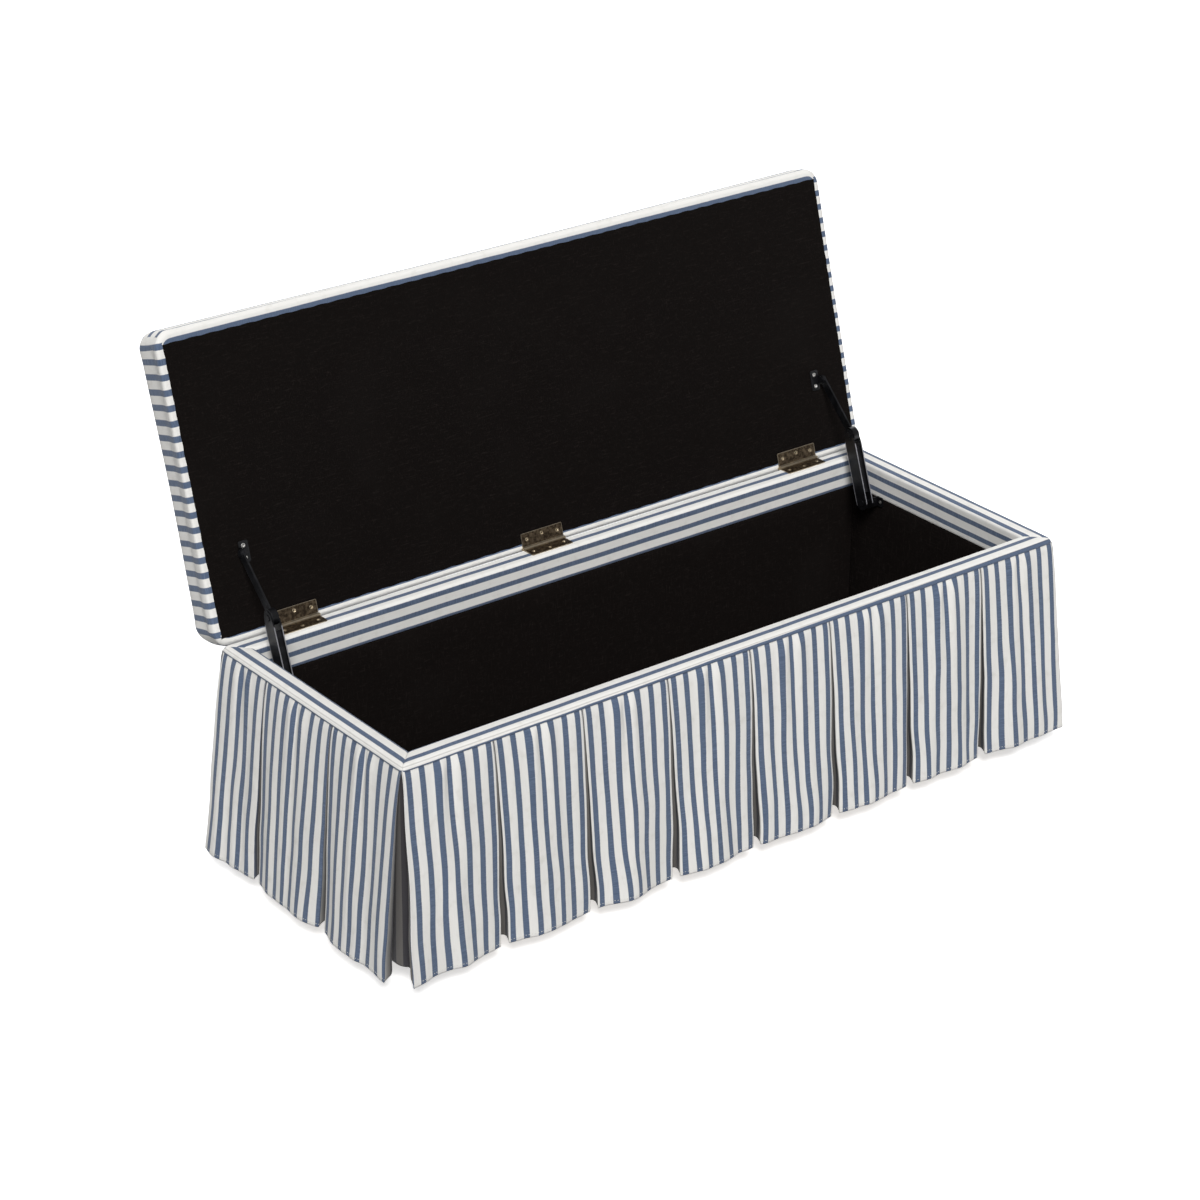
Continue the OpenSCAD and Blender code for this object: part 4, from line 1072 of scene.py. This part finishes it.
def wrapped_board(name, low, high, radius):
    """A soft box: each of its six faces is a grid, and neighbours share their points."""
    marks = [ticks(low[axis], high[axis], radius) for axis in range(3)]
    known, faces = {}, []
    for axis in range(3):
        u, v = (axis + 1) % 3, (axis + 2) % 3
        for end in (0, len(marks[axis]) - 1):
            for a in range(len(marks[u]) - 1):
                for b in range(len(marks[v]) - 1):
                    corners = []
                    for da, db in ((0, 0), (1, 0), (1, 1), (0, 1)):
                        key = [0, 0, 0]
                        key[axis], key[u], key[v] = end, a + da, b + db
                        corners.append(known.setdefault(tuple(key), len(known)))
                    faces.append(corners if end else corners[::-1])
    points = [rounded_point(Vector([marks[a][key[a]] for a in range(3)]), low, high, radius)
              for key in known]
    places = [(points[k].x + points[k].y, points[k].z) for face in faces for k in face]
    return mesh_piece(name, points, faces, places, black_cloth)


for name in ["lining_" + word for word in ("front", "back", "left", "right", "floor")]:
    low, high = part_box(name)
    board = wrapped_board(name + "_board", low, high, min(board_edge, (high - low)[2] * 0.45))
    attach(board, "box")
    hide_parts(name)
print("lining boards wrapped")

# %% [markdown]
# ## Geometry Nodes
# Screws and stitches repeat, and Geometry Nodes place copies by rule. The helper below makes a
# tree from a list of nodes, runs it as a modifier, and keeps the result as a plain mesh, because
# the export drops instances.

# %% Tree helper
class Rule:
    """A geometry tree with named inputs, made node by node."""

    def __init__(self, name, inputs):
        self.group = bpy.data.node_groups.new(name, "GeometryNodeTree")
        self.keys = {}
        for label, kind in (("Geometry", "Geometry"), *inputs.items()):
            made = self.group.interface.new_socket(label, in_out="INPUT", socket_type="NodeSocket" + kind)
            self.keys[label] = made.identifier
        self.group.interface.new_socket("Geometry", in_out="OUTPUT", socket_type="NodeSocketGeometry")
        self.start = self.group.nodes.new("NodeGroupInput")
        self.end = self.group.nodes.new("NodeGroupOutput")

    def given(self, label):
        return self.start.outputs[label]

    def node(self, kind, inputs={}, **settings):
        """Adds a node and returns its first output that is in use."""
        made = add_node(self.group, kind, inputs, settings)
        return next(output for output in made.outputs if output.enabled)

    def finish(self, geometry):
        real = self.node("GeometryNodeRealizeInstances", {0: geometry})
        painted = self.node("GeometryNodeSetMaterial", {0: real, "Material": self.given("Material")})
        feed(self.group, self.end.inputs[0], painted)

    def run(self, name, carrier, **values):
        """Runs the tree on a carrier object and returns the plain mesh that comes out."""
        modifier = carrier.modifiers.new("rule", "NODES")
        modifier.node_group = self.group
        for label, value in values.items():
            modifier[self.keys[label.replace("_", " ")]] = value
        shown = carrier.evaluated_get(bpy.context.evaluated_depsgraph_get())
        mesh = bpy.data.meshes.new_from_object(shown)
        mesh.name = name
        bpy.data.objects.remove(carrier)
        return new_object(name, mesh)


def carrier_of(points, edges=(), facing=()):
    """Loose points or lines for a rule to work on, each point with the way it faces."""
    mesh = new_mesh("carrier", points, edges)
    if facing:
        layer = mesh.attributes.new("facing", "FLOAT_VECTOR", "POINT")
        for item, way in zip(layer.data, facing):
            item.vector = way
    return new_object("carrier", mesh)


print("geometry rules can run")

# %% [markdown]
# ## Screws
# Every screw has a domed head with a cross recess, and no two are turned alike. The head is
# turned on a polar grid whose inner rings follow the cross. The rule places one at each point,
# turns it to face along the stored direction and gives it a random twist from a fixed seed.

# %% One screw
round_steps, head_r, shank_r, screw_long, tip_r = 48, 3.4 * mm, 1.75 * mm, 14 * mm, 0.3 * mm
cross_arm, cross_half, cross_deep = 0.52 * head_r, 0.15 * head_r, -1.25 * mm
cross_rings = [(0.55, -1.1 * mm), (1.0, -0.05 * mm)]
head_rings = [(0.72, 0.22 * mm), (0.93, 0.05 * mm), (1.0, -0.12 * mm), (0.93, -0.4 * mm)]
shank_rings = [(shank_r, -1.4 * mm), (shank_r, -screw_long + 3 * mm), (tip_r, -screw_long)]


def cross_reach(angle):
    """Distance from the centre to the edge of the cross along an angle."""
    a = abs((angle + math.pi / 4) % (math.pi / 2) - math.pi / 4)
    return min(cross_arm / math.cos(a), cross_half / math.sin(a)) if math.sin(a) > 1e-6 else cross_arm


def screw_template():
    """Rings from the bottom of the cross over the head to the tip, each joined to the next."""
    angles = [2 * math.pi * n / round_steps for n in range(round_steps)]
    rings = [[(share * cross_reach(a), z) for a in angles] for share, z in cross_rings]
    rings += [[(share * head_r, z)] * round_steps for share, z in head_rings]
    rings += [[spot] * round_steps for spot in shank_rings]
    points = [(0, 0, cross_deep)]
    points += [(r * math.cos(a), r * math.sin(a), z) for ring in rings for a, (r, z) in zip(angles, ring)]
    beside = [(n, (n + 1) % round_steps) for n in range(round_steps)]
    faces = [(0, 1 + n, 1 + m) for n, m in beside]
    for first in range(1, len(points) - round_steps, round_steps):
        below = first + round_steps
        faces += [(first + n, below + n, below + m, first + m) for n, m in beside]
    faces.append(range(len(points) - 1, len(points) - 1 - round_steps, -1))
    mesh = new_mesh("screw_template", points, faces=faces)
    mesh.shade_smooth()
    return new_object("screw_template", mesh)


screws = Rule("place_screws", {"Screw": "Object", "Twist Seed": "Int", "Material": "Material"})
info = screws.node("GeometryNodeObjectInfo", {"Object": screws.given("Screw")}).node
way = screws.node("GeometryNodeInputNamedAttribute", {"Name": "facing"}, data_type="FLOAT_VECTOR")
stood = screws.node("FunctionNodeAlignRotationToVector", {"Vector": way}, axis="Z")
twist = screws.node("FunctionNodeRandomValue", {"Max": math.pi / 2, "Seed": screws.given("Twist Seed")},
                    data_type="FLOAT")
turned = screws.node("FunctionNodeAxisAngleToRotation", {"Axis": (0, 0, 1), "Angle": twist})
both = screws.node("FunctionNodeRotateRotation", {"Rotation": stood, "Rotate By": turned},
                   rotation_space="LOCAL")
screws.finish(screws.node("GeometryNodeInstanceOnPoints", {
    "Points": screws.given("Geometry"), "Instance": info.outputs["Geometry"], "Rotation": both}))
print("screw rule has", len(screws.group.nodes), "nodes")

# %% Screws in their places
leaf_holes = [(-29 * mm, -13.5 * mm), (0, -16.5 * mm), (29 * mm, -13.5 * mm)]
head_sunk, box_hole_off, lid_hole_off, first_seed = 0.3 * mm, 16 * mm, 9.25 * mm, 5
hole_spots = [(x + a, b) for x in hinge_places for a, b in leaf_holes]
box_screw_at = [hinge + Vector((x, y, -head_sunk)) for x, y in hole_spots]
lid_screw_at = [on_open_lid((x, y, head_sunk)) for x, y in hole_spots]
stay_holes = [(s, t) for s in (-1, 1) for t in (-1, 1)]
stay_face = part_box("right_stay_box_bracket")[1].x - 2 * mm
box_stay_at = [(s * stay_face, foot_pivot.y + t * box_hole_off, foot_pivot.z) for s, t in stay_holes]
ear_x, ear_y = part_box("stay_lid_screws")[1].x - 3.4 * mm, -122 * mm
lid_stay_at = [on_open_lid((s * ear_x, ear_y + t * lid_hole_off, under - 2 * mm)) for s, t in stay_holes]
upwards, lid_face = (0, 0, 1), on_open_lid((0, 0, -1)) - hinge
screw_sets = [
    ("hinge_box_screws", "box", "antique_brass", brass_screw, box_screw_at, [upwards] * 9),
    ("hinge_lid_screws", "lid", "antique_brass", brass_screw, lid_screw_at, [lid_face] * 9),
    ("stay_box_screws", "box", "steel", steel_screw, box_stay_at, [(-s, 0, 0) for s, t in stay_holes]),
    ("stay_lid_screws", "lid", "steel", steel_screw, lid_stay_at, [lid_face] * 4)]
template = screw_template()
for seed, (name, body, slot, metal, points, ways) in enumerate(screw_sets, first_seed):
    piece = screws.run(name + "_with_cross", carrier_of(points, facing=ways),
                       Screw=template, Twist_Seed=seed, Material=metal)
    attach(piece, body)
    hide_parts(name)
    print(name, len(piece.data.polygons), "faces")
bpy.data.objects.remove(template)

# %% [markdown]
# ## Hem stitches
# The hem is turned up and held by a row of small stitches just above the edge. The rule takes
# the line that the skirt follows at that height, walks along it in even steps and lays a short
# rounded thread at each one, turned along the line.

# %% Stitch rule
stitching = Rule("lay_stitches", {"Spacing": "Float", "Length": "Float", "Thread": "Float",
                                  "Material": "Material"})
line = stitching.node("GeometryNodeMeshToCurve", {0: stitching.given("Geometry")})
even = stitching.node("GeometryNodeResampleCurve", {0: line, "Length": stitching.given("Spacing")},
                      mode="LENGTH")
tangent = stitching.node("GeometryNodeInputTangent")
lay = stitching.node("FunctionNodeAlignRotationToVector", {"Vector": tangent}, axis="X")
thread = stitching.node("GeometryNodeMeshUVSphere", {"Segments": 6, "Rings": 4, "Radius": 0.5})
size = stitching.node("ShaderNodeCombineXYZ", {
    "X": stitching.given("Length"), "Y": stitching.given("Thread"), "Z": stitching.given("Thread")})
stitching.finish(stitching.node("GeometryNodeInstanceOnPoints", {
    "Points": even, "Instance": thread, "Rotation": lay, "Scale": size}))
print("stitch rule has", len(stitching.group.nodes), "nodes")

# %% Stitches along each hem
stitch_up, stitch_proud = 6 * mm, 0.15 * mm
stitch_pitch, stitch_long, thread_thick = 4.6 * mm, 2.6 * mm, 0.75 * mm


def thread_finish():
    cotton = Finish("hem_thread", roughness=0.85)
    twist = cotton.spots(cotton.room(), 2500, detail=1)
    return cotton.paint(base_color=cotton.mix(twist, (0.62, 0.60, 0.55), (0.82, 0.80, 0.75)),
                        normal=cotton.bump(twist, 0.1 * mm, 0.5))


hem_thread = thread_finish()
down = 1 - stitch_up / drop
for side, name in enumerate(side_names):
    line = skirt_row(side, down)
    points = [on_run(side, along, out + stitch_proud, down) for along, out, cloth, deep in line]
    edges = [(n, n + 1) for n in range(len(line) - 1) if line[n][3] == line[n + 1][3] == 0]
    piece = stitching.run("hem_stitches_" + name, carrier_of(points, edges), Spacing=stitch_pitch,
                          Length=stitch_long, Thread=thread_thick, Material=hem_thread)
    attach(piece, "box")
    print(piece.name, len(piece.data.polygons), "faces")

# %% [markdown]
# ## Finishes for the CAD nodes
# The wood, the hinges and the stays keep their CAD shapes and only get a finish. Each finish
# reads Object coordinates, which on a CAD node are places in the room, so grain and wear run on
# from one piece to the next.

# %% Paint the CAD nodes
plain = {"plywood": plywood, "pine": pine, "foot_wood": foot_wood, "foam": foam_stuff, "glide": glide_stuff,
         "steel": zinc, "black_steel": flat_black, "black_cloth": black_cloth, "striped_cloth": rim_cloth,
         "antique_brass": brass_screw}


def finish_of(name, slot):
    if slot == "antique_brass":
        return brass_of.get(name.split("_")[0], brass_screw)
    return channel_black if name.endswith("lower_arm") else plain[slot]


for sub in frame["record"]["subparts"]:
    materials = frame["nodes"][sub["node"]].data.materials
    materials.clear()
    materials.append(finish_of(sub["node"], sub["material_slot"]))
print("finished", len(frame["record"]["subparts"]), "nodes")

# %% [markdown]
# ## Floor and light
# The bench stands in a bright studio with a pale floor that runs out of sight. Sun lamps light
# the far floor as much as the near one, which an area light can't do. The stronger one comes
# from the front left, a weaker and softer one from behind on the right, and a pale sky fills
# the shadows.

# %% Studio
floor_half, floor_glow, sky_strength = 14, 0.6, 0.26


def studio_floor():
    """A pale sheet that glows a little; diffuse rays don't see it, so it doesn't light the bench."""
    paper = Finish("pale_floor", roughness=0.9)
    drift = paper.spots(paper.room(), 3)
    paint = paper.paint(base_color=paper.mix(drift, (0.93, 0.93, 0.93), (0.95, 0.95, 0.95)),
                        emission_color=(1, 1, 1, 1), emission_strength=floor_glow)
    corners = [(x * floor_half, y * floor_half, 0) for x, y in ((-1, -1), (1, -1), (1, 1), (-1, 1))]
    floor = new_object("floor", new_mesh("floor", corners, faces=[(0, 1, 2, 3)]))
    floor.data.materials.append(paint)
    floor.visible_diffuse = False
    floor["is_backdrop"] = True


def sun(name, strength, softness, from_point):
    light = bpy.data.lights.new(name, "SUN")
    light.energy, light.angle = strength, math.radians(softness)
    new_object(name, light).rotation_euler = Vector(from_point).to_track_quat("Z", "Y").to_euler()


studio_floor()
sky = bpy.data.worlds.new("pale_sky")
sky.use_nodes = True
for socket, value in (("Color", (1, 1, 1, 1)), ("Strength", sky_strength)):
    sky.node_tree.nodes["Background"].inputs[socket].default_value = value
bpy.context.scene.world = sky
sun("key", strength=3.0, softness=24, from_point=(-0.36, -0.56, 0.75))
sun("fill", strength=1.5, softness=50, from_point=(0.45, 0.85, 0.22))

# %% [markdown]
# ## Size and finish
# Last, the size of the dressed model is printed as how much it grew beyond the CAD model's box,
# so that a piece that stands too proud is found at once.

# %% Print how much the model grew
low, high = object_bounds()
print("grew by, mm:", [round((high - low - cad_high + cad_low)[i] / mm, 1) for i in range(3)])
